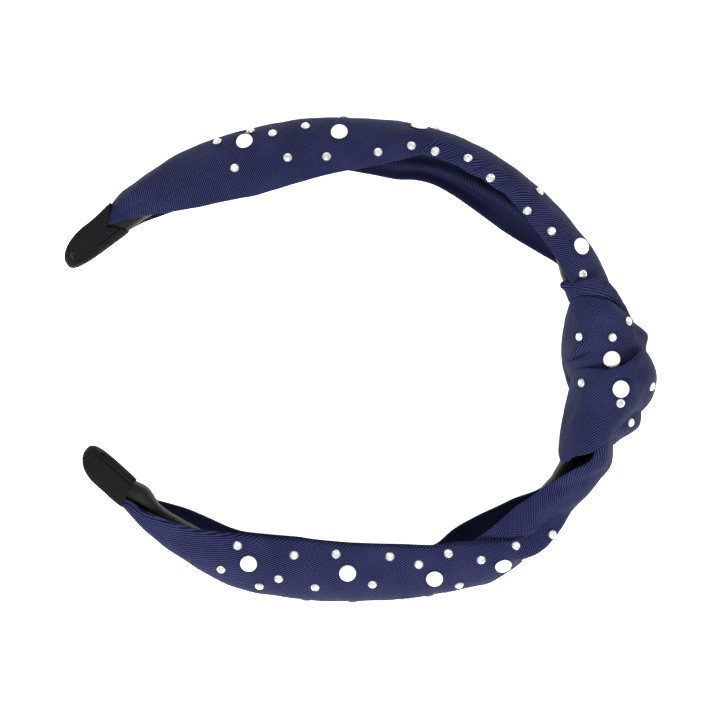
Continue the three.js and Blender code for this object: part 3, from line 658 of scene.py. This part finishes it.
def cover_grid(side, inset, rows, cap_rows):
    """Rings of the cover from its mouth to where its round end closes."""
    cover = COVER[side]
    ribs = round((cover["outside"] - cover["head"] + 2 * cover["half"]) * 1.8 / RIB_PITCH)
    count = ribs * RIB_COLUMNS
    phase = np.linspace(0, 2 * math.pi, count, endpoint=False)[None, :]
    angle = even_angles(cover["outside"] - cover["head"], 2 * cover["half"], count)[None, :]
    begin = TIP_END[side] - cover["round"]
    mouth = MOUTH[side] + cover["slant"] * np.sign(np.cos(angle)) * np.abs(np.cos(angle)) ** 0.5
    mouth = mouth + cover["notch"] * (1 - np.abs(np.cos(angle)) ** 0.5) * (np.sin(angle) > 0)
    straight = lerp(mouth, begin, np.linspace(0, 1, rows)[:, None])
    pole = np.array(cover["pole"]) / np.linalg.norm(cover["pole"])
    side_ways = np.stack([0 * angle[0], np.cos(angle[0]), np.sin(angle[0])], axis=-1)
    arc = np.arccos(side_ways @ pole)[None, :]
    t = np.linspace(0, 0.985 if inset == 0 else 0.9, cap_rows)[1:, None]
    ways = (np.sin((1 - t) * arc)[..., None] * side_ways[None]
            + np.sin(t * arc)[..., None] * pole) / np.sin(arc)[..., None]
    on = np.clip(ways[..., 0], 0, 1)
    turn = np.concatenate([angle + 0 * straight, np.arctan2(ways[..., 2], ways[..., 1])])
    on = np.concatenate([0 * straight, on])
    c, s = rounded(turn, BOXY)
    power = lerp(3.0, 2.0, (1 + np.cos(turn)) / 2)
    keep = (1 - on**power) ** (1 / power)
    keep_high = (1 - on**3.4) ** (1 / 3.4)
    middle = (cover["head"] + cover["outside"]) / 2
    deep = (cover["outside"] - cover["head"]) / 2 - inset
    share = np.linspace(0, 1, cap_rows)[1:, None]
    flat = np.concatenate([np.ones((rows, 1)), 1 - share**3])
    rib = RIB_HEIGHT * (np.abs(np.sin(phase * ribs / 2)) ** 0.8 - 1) * flat
    seam = SEAM_DEPTH * np.exp(-((c - SEAM_PLACE) / SEAM_WIDTH) ** 2) * (s > 0.5) * flat
    plain_cap = 0 * share + 0 * angle
    lip = LIP_DEPTH * np.exp(-((straight - mouth) / LIP_WIDTH) ** 2)
    lip = np.concatenate([lip, plain_cap])
    pad = (rib - seam - lip) * (inset == 0)
    widen = np.clip(1 - (straight - MOUTH[side]) / FLARE_LENGTH, 0, 1.05) ** 1.5
    flare = cover["flare"] * widen * np.clip(3 * c[:rows], 0, 1)
    deep = deep + np.concatenate([flare, plain_cap])
    out = cover["close"] + keep * (middle - cover["close"] + deep * c) + pad * c
    high = (cover["half"] - inset) * keep_high * s + pad * s
    at = np.concatenate([straight, begin + (cover["round"] - inset) * on[rows:]])
    around = phase * ribs * RIB_PITCH / (2 * math.pi) + 0 * at
    return at_hoop(side * at, out, high), at, around


def tip_cover(name, side, materials):
    outer, at, around = cover_grid(side, 0.0, COVER_ROWS, CAP_ROWS)
    inner, at_in, around_in = cover_grid(side, COVER_WALL, INNER_ROWS, INNER_CAP_ROWS)
    count = outer.shape[1]
    points = np.concatenate([outer[::-1], inner]).reshape(-1, 3)
    faces = capped_faces(len(outer) + len(inner), count)
    lay = np.concatenate([
        np.stack([at, around, 1 + 0 * at], axis=-1)[::-1],
        np.stack([at_in, around_in, -1 + 0 * at_in], axis=-1)])
    return new_object(name, points, outward(points, faces), materials, lay.reshape(-1, 3))


THREAD = 0.14        # the thread's radius
THREAD_SIDES = 8
STITCHES = 5
STITCH_GAP = 0.75


def thread(line):
    """A short length of thread through points in mm, with round ends."""
    line = catmull_rom(line, 6)
    tangent = unit(np.gradient(line, axis=0))
    side = unit(np.cross(tangent, (0.13, 0.21, 0.97)))
    other = np.cross(tangent, side)
    angle = np.linspace(0, 2 * math.pi, THREAD_SIDES, endpoint=False)
    taper = np.sqrt(np.clip(1 - np.linspace(-1, 1, len(line)) ** 8, 0.05, 1))[:, None, None]
    ring = side[:, None] * np.cos(angle)[:, None] + other[:, None] * np.sin(angle)[:, None]
    points = (line[:, None] + THREAD * taper * ring).reshape(-1, 3)
    return points, outward(points, capped_faces(len(line), THREAD_SIDES))


# Where the thread that closes each cover's end lies: distance along the hoop and outside it.
STITCH_SPOT = {UPPER: (169.6, 1.9), LOWER: (161.0, -0.5)}


def stitches(name, side, materials):
    """The thread that closes the cover's folded end on its near face."""
    at, out = STITCH_SPOT[side]
    high = COVER[side]["half"] * 0.86
    threads = []
    for k in range(STITCHES):
        place = at - STITCH_GAP * (k - 1)
        lean = 0.4 * (-1) ** k
        threads.append(thread([at_hoop(side * (place + lean), out - 1.1, high - 0.25),
                               at_hoop(side * place, out, high + 0.22),
                               at_hoop(side * (place - lean), out + 1.1, high - 0.15)]))
    return new_object(name, *joined(threads), materials)


# ---------------------------------------------------------------- materials

def new_material(name):
    material = bpy.data.materials.new(name)
    material.use_nodes = True
    tree = material.node_tree
    tree.nodes.clear()
    shader = tree.nodes.new("ShaderNodeBsdfPrincipled")
    output = tree.nodes.new("ShaderNodeOutputMaterial")
    tree.links.new(shader.outputs["BSDF"], output.inputs["Surface"])
    return material, tree, shader


def feed(tree, socket, value):
    """Puts a node's output or a plain value into an input socket."""
    if isinstance(value, bpy.types.NodeSocket):
        tree.links.new(value, socket)
    else:
        socket.default_value = value


def put(shader, **values):
    """Sets a shader's sockets, named with _ for spaces, to plain values."""
    for name, value in values.items():
        shader.inputs[name.replace("_", " ")].default_value = value


def math_node(tree, operation, *values):
    node = tree.nodes.new("ShaderNodeMath")
    node.operation = operation
    for socket, value in zip(node.inputs, values):
        feed(tree, socket, value)
    return node.outputs[0]


def mix_colour(tree, factor, a, b, blend="MIX"):
    node = tree.nodes.new("ShaderNodeMix")
    node.data_type = "RGBA"
    node.blend_type = blend
    feed(tree, node.inputs["Factor"], factor)
    feed(tree, node.inputs["A"], a)
    feed(tree, node.inputs["B"], b)
    return node.outputs["Result"]


def lay_axes(tree):
    """The cloth's own coordinates in mm, and which side of it a point is on."""
    attribute = tree.nodes.new("ShaderNodeAttribute")
    attribute.attribute_name = "lay"
    split = tree.nodes.new("ShaderNodeSeparateXYZ")
    tree.links.new(attribute.outputs["Vector"], split.inputs[0])
    return attribute.outputs["Vector"], split.outputs


def noise(tree, vector, scale, detail=2.0):
    node = tree.nodes.new("ShaderNodeTexNoise")
    tree.links.new(vector, node.inputs["Vector"])
    node.inputs["Scale"].default_value = scale
    node.inputs["Detail"].default_value = detail
    return node.outputs["Fac"]


def wave(tree, place, pitch, shift=0.0):
    """A wave between 0 and 1 with its crests a pitch apart."""
    turn = math_node(tree, "MULTIPLY_ADD", place, 2 * math.pi / pitch, shift)
    return math_node(tree, "MULTIPLY_ADD", math_node(tree, "SINE", turn), 0.5, 0.5)


def roughen(tree, shader, value, spread, least):
    rough = math_node(tree, "MULTIPLY_ADD", value, spread, least)
    tree.links.new(rough, shader.inputs["Roughness"])


def clouded(name, scale, one, other, detail=2):
    """A look whose colour drifts between two with a soft noise, and what it is made of."""
    material, tree, shader = new_material(name)
    cloud = noise(tree, tree.nodes.new("ShaderNodeTexCoord").outputs["Object"], scale, detail)
    tree.links.new(mix_colour(tree, cloud, one, other), shader.inputs["Base Color"])
    return material, tree, shader, cloud


def bump(tree, shader, height, strength, distance):
    node = tree.nodes.new("ShaderNodeBump")
    node.inputs["Strength"].default_value = strength
    node.inputs["Distance"].default_value = distance
    tree.links.new(height, node.inputs["Height"])
    tree.links.new(node.outputs["Normal"], shader.inputs["Normal"])


TWILL_PITCH = 0.50
YARN_PITCH = 0.40
TWILL_DARK = (0.0016, 0.0022, 0.0150, 1)
TWILL_LIGHT = (0.0500, 0.0590, 0.1680, 1)
# How much darker the cloth's inner side is painted: painted shade for the insides of the flaps and bands.
INNER_SIDE_PAINTED_SHADE = (0.62, 0.62, 0.64, 1)


def twill():
    material, tree, shader = new_material("navy_twill")
    vector, (x, y, side) = lay_axes(tree)
    slub = noise(tree, vector, 0.9, 3)
    x = math_node(tree, "MULTIPLY_ADD", slub, 0.22, x)
    line = wave(tree, x, TWILL_PITCH)
    yarn = wave(tree, y, YARN_PITCH)
    raised = math_node(tree, "MULTIPLY", line, math_node(tree, "MULTIPLY_ADD", yarn, 0.45, 0.55))
    patch = noise(tree, vector, 0.11, 2)
    fine = noise(tree, vector, 3.2, 2)
    shade = math_node(tree, "MULTIPLY_ADD", patch, 0.4, -0.2)
    shade = math_node(tree, "ADD", shade, math_node(tree, "MULTIPLY_ADD", fine, 0.3, -0.15))
    tone = math_node(tree, "ADD", math_node(tree, "POWER", raised, 2.1),
                     math_node(tree, "MULTIPLY", shade, 0.8))
    tone = math_node(tree, "MULTIPLY", tone, 0.95)
    tone = math_node(tree, "MINIMUM", math_node(tree, "MAXIMUM", tone, 0.0), 1.0)
    colour = mix_colour(tree, tone, TWILL_DARK, TWILL_LIGHT)
    # Painted shade: the inner side of the same cloth is darkened by this factor.
    inside = math_node(tree, "LESS_THAN", side, -0.2)
    inner_painted_shade = mix_colour(tree, 1.0, colour, INNER_SIDE_PAINTED_SHADE, "MULTIPLY")
    colour = mix_colour(tree, inside, colour, inner_painted_shade)
    tree.links.new(colour, shader.inputs["Base Color"])
    rough = math_node(tree, "MULTIPLY_ADD", fine, 0.2, 0.66)
    tree.links.new(math_node(tree, "SUBTRACT", rough, math_node(tree, "MULTIPLY", raised, 0.08)),
                   shader.inputs["Roughness"])
    put(shader, Sheen_Weight=0.01, Sheen_Roughness=0.4, Sheen_Tint=(0.45, 0.52, 0.90, 1),
        Specular_IOR_Level=0.07)
    bump(tree, shader, raised, 0.8, 0.00020)
    return material


def ribbed():
    material, tree, shader = new_material("black_rib")
    vector, (x, y, _) = lay_axes(tree)
    fine = noise(tree, vector, 4.0, 3)
    weft = wave(tree, x, 0.26)
    crest = wave(tree, y, RIB_PITCH, -math.pi / 2)
    tone = math_node(tree, "MULTIPLY_ADD", weft, 0.25, math_node(tree, "MULTIPLY", fine, 0.5))
    # Painted shade: the colour is darkest in the valleys between the ribs.
    tone = math_node(tree, "MULTIPLY", math_node(tree, "ADD", tone, 0.2), crest)
    tree.links.new(mix_colour(tree, tone, (0.0006, 0.0006, 0.0007, 1), (0.019, 0.019, 0.019, 1)),
                   shader.inputs["Base Color"])
    roughen(tree, shader, fine, 0.25, 0.65)
    put(shader, Specular_IOR_Level=0.08)
    bump(tree, shader, weft, 0.4, 0.00010)
    return material


def satin():
    material, tree, shader = new_material("black_satin")
    vector, (_, y, _) = lay_axes(tree)
    fine = noise(tree, vector, 2.6, 3)
    thread_wave = wave(tree, math_node(tree, "MULTIPLY_ADD", fine, 0.1, y), 0.22)
    fold = noise(tree, vector, 0.35, 2)
    tone = math_node(tree, "MULTIPLY_ADD", thread_wave, 0.3, math_node(tree, "MULTIPLY", fold, 0.6))
    tree.links.new(mix_colour(tree, tone, (0.0014, 0.0014, 0.0016, 1), (0.0085, 0.0085, 0.0091, 1)),
                   shader.inputs["Base Color"])
    roughen(tree, shader, fold, 0.18, 0.5)
    put(shader, Specular_IOR_Level=0.12)
    bump(tree, shader, thread_wave, 0.25, 0.00006)
    return material


def pearl_white():
    material, tree, shader, cloud = clouded(
        "half_pearl", 420.0, (0.93, 0.93, 0.92, 1), (0.86, 0.87, 0.88, 1))
    roughen(tree, shader, cloud, 0.12, 0.16)
    put(shader, Coat_Weight=0.35, Coat_Roughness=0.12)
    return material


def crystal():
    # The colour drifts between white and dark grey in small patches: painted reflections in the facets.
    material, tree, shader, painted_facet_reflection = clouded(
        "rhinestone_crystal", 1500.0, (0.94, 0.94, 0.96, 1), (0.26, 0.27, 0.30, 1), 1)
    roughen(tree, shader, painted_facet_reflection, 0.12, 0.05)
    put(shader, Metallic=0.5, Coat_Weight=0.6, Coat_Roughness=0.04)
    return material


def spring_plastic():
    material, tree, shader, cloud = clouded(
        "spring_plastic", 260.0, (0.07, 0.07, 0.08, 1), (0.11, 0.11, 0.12, 1), 3)
    roughen(tree, shader, cloud, 0.2, 0.4)
    bump(tree, shader, cloud, 0.1, 0.00005)
    return material


# A dark rim round each stone's foot: painted contact shadow where the stone meets the cloth.
def painted_shadow_rim():
    material, tree, shader, cloud = clouded(
        "stone_rim", 900.0, (0.006, 0.006, 0.010, 1), (0.020, 0.020, 0.028, 1))
    roughen(tree, shader, cloud, 0.3, 0.4)
    put(shader, Specular_IOR_Level=0.2)
    return material


def dark_thread():
    material, tree, shader, ply = clouded(
        "black_thread", 3000.0, (0.003, 0.003, 0.003, 1), (0.012, 0.012, 0.012, 1))
    roughen(tree, shader, ply, 0.2, 0.5)
    return material


# ---------------------------------------------------------------- the stones

PEARL = dict(radius=2.15, height=1.75, sides=40, rings=12)
GEM = dict(radius=1.12, height=0.85, sides=12)
PEARL_REACH, GEM_REACH = 1.6, 0.8    # how far out the cloth under a stone counts for its lean
SEEN_STEPS = 4       # how often a stone's place is corrected for its height
SINK = 0.06          # how deep a stone's flat back sits in the cloth
TWIST = 2.39996      # the turn from one stone to the next about its own axis
RAY_START = 0.08     # m, well above the band
NEAR_CLOTH = 0.0035  # m, the most that the cloth may lie from a stone's given height
LEAST_UP = 0.3       # the least share of a normal that points up where a stone is seen
OUTSIDE = 30.0       # mm from the hoop, outside all of the cloth
LEAN_SAMPLES = 6     # places round a stone at which the cloth's normal is taken


def pearl_shape():
    """A half pearl as points and faces, its flat back at z = 0."""
    # The first rings form a dark rim a little wider than the pearl: painted contact shadow.
    rings = [(1.09, 0.0), (1.09, 0.06), (0.985, 0.08)]
    for k in range(PEARL["rings"]):
        angle = math.pi / 2 * k / PEARL["rings"]
        rings.append((math.cos(angle), 0.16 + 0.84 * math.sin(angle)))
    sides = PEARL["sides"]
    turn = np.linspace(0, 2 * math.pi, sides, endpoint=False)
    wide, tall = PEARL["radius"], PEARL["height"]
    points = [(wide * r * math.cos(t), wide * r * math.sin(t), tall * h) for r, h in rings for t in turn]
    points.append((0, 0, tall))
    faces = loop_faces(len(rings), sides)
    last = (len(rings) - 1) * sides
    faces += [(last + j, last + (j + 1) % sides, len(points) - 1) for j in range(sides)]
    faces.append(tuple(range(sides))[::-1])
    return np.array(points), faces


def gem_shape():
    """A rhinestone: flat back, girdle, main and star facets and a table."""
    sides = GEM["sides"]
    # The first rings form a dark rim a little wider than the gem: painted contact shadow.
    rings = [(1.20, 0.0, 0), (1.20, 0.13, 0), (0.99, 0.16, 0), (1.0, 0.36, 0), (0.78, 0.74, 0.5),
             (0.50, 1.0, 0)]
    wide, tall = GEM["radius"], GEM["height"]
    points = []
    for r, h, shift in rings:
        for j in range(sides):
            t = 2 * math.pi * (j + shift) / sides
            points.append((wide * r * math.cos(t), wide * r * math.sin(t), tall * h))
    faces = loop_faces(4, sides)
    for low, high, ahead in ((3, 4, 0), (4, 5, 1)):
        for j in range(sides):
            a, b = low * sides + j, low * sides + (j + 1) % sides
            c, d = high * sides + (j + ahead) % sides, high * sides + (j + ahead + 1) % sides
            faces.append((a, b, c))
            faces.append((b, d, c))
    faces.append(tuple(range(5 * sides, 6 * sides)))
    faces.append(tuple(range(sides))[::-1])
    return np.array(points), faces


def rim_marks(faces, stones):
    """Material 1 for the faces of each stone's dark rim, painted contact shadow, which come first, else
    0.
    """
    each = len(faces) // stones
    sides = PEARL["sides"] if each > PEARL["sides"] * 10 else GEM["sides"]
    return [int(i % each < 2 * sides) for i in range(len(faces))]


def set_on(shape, spot, normal, turn):
    """The shape's points set on a spot in mm with its back against the cloth."""
    spin = Matrix.Rotation(turn, 3, "Z")
    lean = Vector((0, 0, 1)).rotation_difference(Vector(normal)).to_matrix()
    points, faces = shape
    matrix = np.array(lean @ spin)
    return points @ matrix.T + np.asarray(spot) - SINK * np.asarray(normal), faces


class Surface:
    """The cloth pieces' surface, where stones are set."""

    def __init__(self, pieces):
        points, faces = joined(
            (np.array([v.co[:] for v in piece.data.vertices]),
             [tuple(f.vertices) for f in piece.data.polygons]) for piece in pieces)
        self.tree = BVHTree.FromPolygons(points.tolist(), faces)

    def below(self, place):
        """The surface straight below a place, if it is near it and doesn't fall off steeply."""
        start = Vector((place[0], place[1], RAY_START))
        spot, normal, _, _ = self.tree.ray_cast(start, Vector((0, 0, -1)))
        if spot is None or abs(spot.z - place[2]) > NEAR_CLOTH or normal.z < LEAST_UP:
            return None
        return spot, normal

    def seen_at(self, place, height):
        """The surface under a stone of a height whose middle lies straight over a place."""
        x, y, z = place
        found = None
        for _ in range(SEEN_STEPS):
            trial = self.below((x, y, z))
            if trial is None:
                break
            found = trial
            x = place[0] - found[1].x * height / 2
            y = place[1] - found[1].y * height / 2
        return found or self.nearest(place)

    def from_outside(self, along, turn):
        """The cloth's outer surface at an angle round the hoop from the crest to the far side."""
        turn = math.radians(turn)
        axis = Vector(at_hoop(along, 1.0, 0) * MM)
        out, high = 1.0 + OUTSIDE * math.cos(turn), -OUTSIDE * math.sin(turn)
        start = Vector(at_hoop(along, out, high) * MM)
        spot, normal, _, _ = self.tree.ray_cast(start, (axis - start).normalized())
        return spot, normal

    def nearest(self, place):
        spot, normal, _, _ = self.tree.find_nearest(Vector(place))
        return spot, normal

    def smooth_normal(self, spot, normal, reach):
        """The mean normal of the cloth about a spot, so that a stone lies flat on it."""
        total = Vector(normal)
        side = Vector(normal).orthogonal().normalized()
        for k in range(LEAN_SAMPLES):
            turn = 2 * math.pi * k / LEAN_SAMPLES
            offset = Matrix.Rotation(turn, 3, normal) @ side * reach
            _, other, _, _ = self.tree.find_nearest(spot + offset)
            total += other if other.dot(normal) > 0 else Vector((0, 0, 0))
        return total.normalized()


def foot(name):
    """The middle of a plain stone's flat back, its widest flat face."""
    plain = bpy.data.objects[name]
    faces = plain.data.polygons
    normals = np.array([f.normal[:] for f in faces])
    areas = np.array([f.area for f in faces])
    alike = normals @ normals.T > 0.999
    back = alike[np.argmax(alike @ areas)]
    centres = np.array([f.center[:] for f in faces])
    middle = (centres * (areas * back)[:, None]).sum(0) / (areas * back).sum()
    return plain.matrix_world @ Vector(middle)


def set_stone(surface, found, shape, reach, number):
    spot, normal = found
    normal = surface.smooth_normal(spot, normal, reach * MM)
    return set_on(shape, np.array(spot) / MM, normal, TWIST * number)


# Stones that lie elsewhere than in the frame: distance along, out, high.
STONE_SPOTS = {
    "pearl_knot_2": (-3.7, 8.4, 15.5), "pearl_knot_3": (-1.4, 17.2, -3.5),
    "rhinestone_knot_3": (11.5, 11.2, 9), "rhinestone_knot_5": (-7.0, 8.7, 17.5),
    "rhinestone_knot_6": (-2.8, 17.1, 8), "rhinestone_knot_7": (-10.8, 13.0, 8),
    "rhinestone_lower_3": (-36.1, 7.4, 2), "rhinestone_lower_12": (-62.8, 8.2, 5),
    "rhinestone_lower_16": (-46.7, 9.1, 3), "rhinestone_upper_3": (117.1, 7.2, 4),
    "pearl_upper_3": (77.1, 8.4, 5),
}


def framed_stones(surface, start, shape, reach, materials, suffix, slot):
    """A fine stone for each of the frame's plain ones."""
    names = [n for n in frame["nodes"] if n.startswith(start)]
    for number, name in enumerate(names):
        place = at_hoop(*STONE_SPOTS[name]) * MM if name in STONE_SPOTS else foot(name)
        found = surface.seen_at(place, shape[0][:, 2].max() * MM)
        points, faces = set_stone(surface, found, shape, reach, number)
        carry(new_object(name + suffix, points, faces, materials, marks=rim_marks(faces, 1),
                         smooth=slot == "pearl"), slot, name)


def loose_stones(name, surface, places, shape, reach, materials, slot):
    """Stones that the frame doesn't have, in one piece."""
    stones = []
    for number, place in enumerate(places):
        near = len(place) == 3
        found = surface.nearest(at_hoop(*place) * MM) if near else surface.from_outside(*place)
        stones.append(set_stone(surface, found, shape, reach, number))
    points, faces = joined(stones)
    carry(new_object(name, points, faces, materials, marks=rim_marks(faces, len(places)),
                     smooth=slot == "pearl"), slot)


# Edge-on stones along the crest, as (distance along, out, high).
CREST_GEMS = (
    (95, 9, 0.6), (82, 9.5, -3), (73, 8.6, 3.6), (45.4, 6.3, 6), (-110.2, 6.6, 7), (-99, 9, 0),
    (-88, 9, -0.5), (-75.6, 8.4, 2), (-70, 9, 0.5),
)
# The far flap's stones: distance along and degrees round from the crest towards the far side.
FAR_GEMS = tuple(
    (side * at, turn)
    for side in (UPPER, LOWER)
    for at, turn in (
        (126, 34), (120, 60), (112, 28), (104, 58), (97, 26), (90, 56), (84, 36), (72, 60), (66, 22),
        (58, 56), (50, 34), (42, 58), (36, 28),
    )
)
FAR_PEARLS = tuple(
    (side * at, turn)
    for side in (UPPER, LOWER)
    for at, turn in ((116, 46), (93, 42), (62, 40), (46, 46))
)


# ---------------------------------------------------------------- stage, light and camera

FLOOR_SIZE = 3.0
FLOOR_TOP = -0.02                    # mm, just clear of the band
FLOOR_GLOW = 0.78
VIEW_TURN = 2.5                      # degrees that the camera is rolled by
VIEW_HEIGHT = HOOP_HEIGHT + 700.0
VIEW_WIDTH = 184.3                   # mm seen across at the hoop's mid-plane
VIEW_CENTRE = (CENTRE_SHIFT[0] - 0.256, CENTRE_SHIFT[1] + 0.256)


def pale_floor():
    half = FLOOR_SIZE / 2 / MM
    corners = [(x * half, y * half, FLOOR_TOP) for x, y in ((-1, -1), (1, -1), (1, 1), (-1, 1))]
    material, _, shader, _ = clouded(
        "pale_floor", 60.0, (0.93, 0.93, 0.93, 1), (0.90, 0.90, 0.90, 1))
    put(shader, Roughness=0.9, Specular_IOR_Level=0.0, Emission_Color=(1, 1, 1, 1),
        Emission_Strength=FLOOR_GLOW)
    new_object("pale_floor", corners, [(0, 1, 2, 3)], [material])


WORLD_LIGHT = 0.44
AIM = (0, 0, HOOP_HEIGHT * MM)
# Soft boxes: where in metres, their size in metres and their power in watts.
SOFT_BOXES = (
    ("key_light", (-0.06, -0.46, 0.62), 0.32, 10.0),
    ("fill_light", (0.46, 0.30, 0.50), 0.50, 2.4),
    ("back_light", (-0.25, 0.50, 0.45), 0.45, 1.6),
)


def lights():
    world = bpy.data.worlds.new("studio")
    bpy.context.scene.world = world
    world.use_nodes = True
    background = world.node_tree.nodes["Background"]
    background.inputs["Color"].default_value = (1, 1, 1, 1)
    background.inputs["Strength"].default_value = WORLD_LIGHT
    for name, place, size, power in SOFT_BOXES:
        light = bpy.data.lights.new(name, "AREA")
        light.shape = "SQUARE"
        light.size = size
        light.energy = power
        lamp = bpy.data.objects.new(name, light)
        lamp.location = place
        aim = Vector(AIM) - Vector(place)
        lamp.rotation_euler = aim.to_track_quat("-Z", "Y").to_euler()
        bpy.context.scene.collection.objects.link(lamp)


def camera():
    data = bpy.data.cameras.new("view")
    data.sensor_width = 36.0
    data.lens = data.sensor_width * (VIEW_HEIGHT - HOOP_HEIGHT) / VIEW_WIDTH
    data.clip_start = 0.05
    data.clip_end = 10.0
    view = bpy.data.objects.new("view", data)
    view.location = (VIEW_CENTRE[0] * MM, VIEW_CENTRE[1] * MM, VIEW_HEIGHT * MM)
    view.rotation_euler = (0, 0, math.radians(VIEW_TURN))
    bpy.context.scene.collection.objects.link(view)
    bpy.context.scene.camera = view


# ---------------------------------------------------------------- the band

def main():
    camera()
    lights()
    pale_floor()
    bpy.context.scene.view_settings.view_transform = "Standard"

    navy, rib, black, thread_black = twill(), ribbed(), satin(), dark_thread()
    upper = carry(strap("strap_upper_cloth", STRAP_UPPER, UPPER, CREASES_UPPER, TWILL_UPPER, [navy]),
                  "navy_twill", "strap_upper")
    lower = carry(strap("strap_lower_cloth", STRAP_LOWER, LOWER, CREASES_LOWER, TWILL_LOWER, [navy]),
                  "navy_twill", "strap_lower")
    bands = {
        key: carry(knot_band(f"knot_{kind}_cloth", key, [navy]), "navy_twill", f"knot_{kind}")
        for key, kind in (("over", "band_over"), ("under", "band_under"),
                          ("collar_upper", "collar_upper"), ("collar_lower", "collar_lower"))
    }
    tube = carry(sleeve("sleeve_satin", [black]), "black_satin", "hoop_sleeve")
    for side, word in ((UPPER, "upper"), (LOWER, "lower")):
        carry(tip_cover(f"tip_cover_{word}_tape", side, [rib]),
                             "ribbed_tape", f"tip_cover_{word}")
        carry(stitches(f"tip_cover_{word}_stitches", side, [thread_black]), "ribbed_tape")

    carry(core("hoop_core_spring", [spring_plastic()]), "hoop_plastic", "hoop_core")

    surface = Surface([upper, lower, *bands.values()])
    shadow_rim_look = painted_shadow_rim()
    pearl_look, gem_look = [pearl_white(), shadow_rim_look], [crystal(), shadow_rim_look]
    pearl_form, gem_form = pearl_shape(), gem_shape()
    framed_stones(surface, "pearl_", pearl_form, PEARL_REACH, pearl_look, "_dome", "pearl")
    framed_stones(surface, "rhinestone_", gem_form, GEM_REACH, gem_look, "_cut", "crystal")
    for name, places in (("rhinestones_crest", CREST_GEMS), ("rhinestones_far_side", FAR_GEMS)):
        loose_stones(name, surface, places, gem_form, GEM_REACH, gem_look, "crystal")
    loose_stones("pearls_far_side", surface, FAR_PEARLS, pearl_form, PEARL_REACH, pearl_look,
                 "pearl")


main()
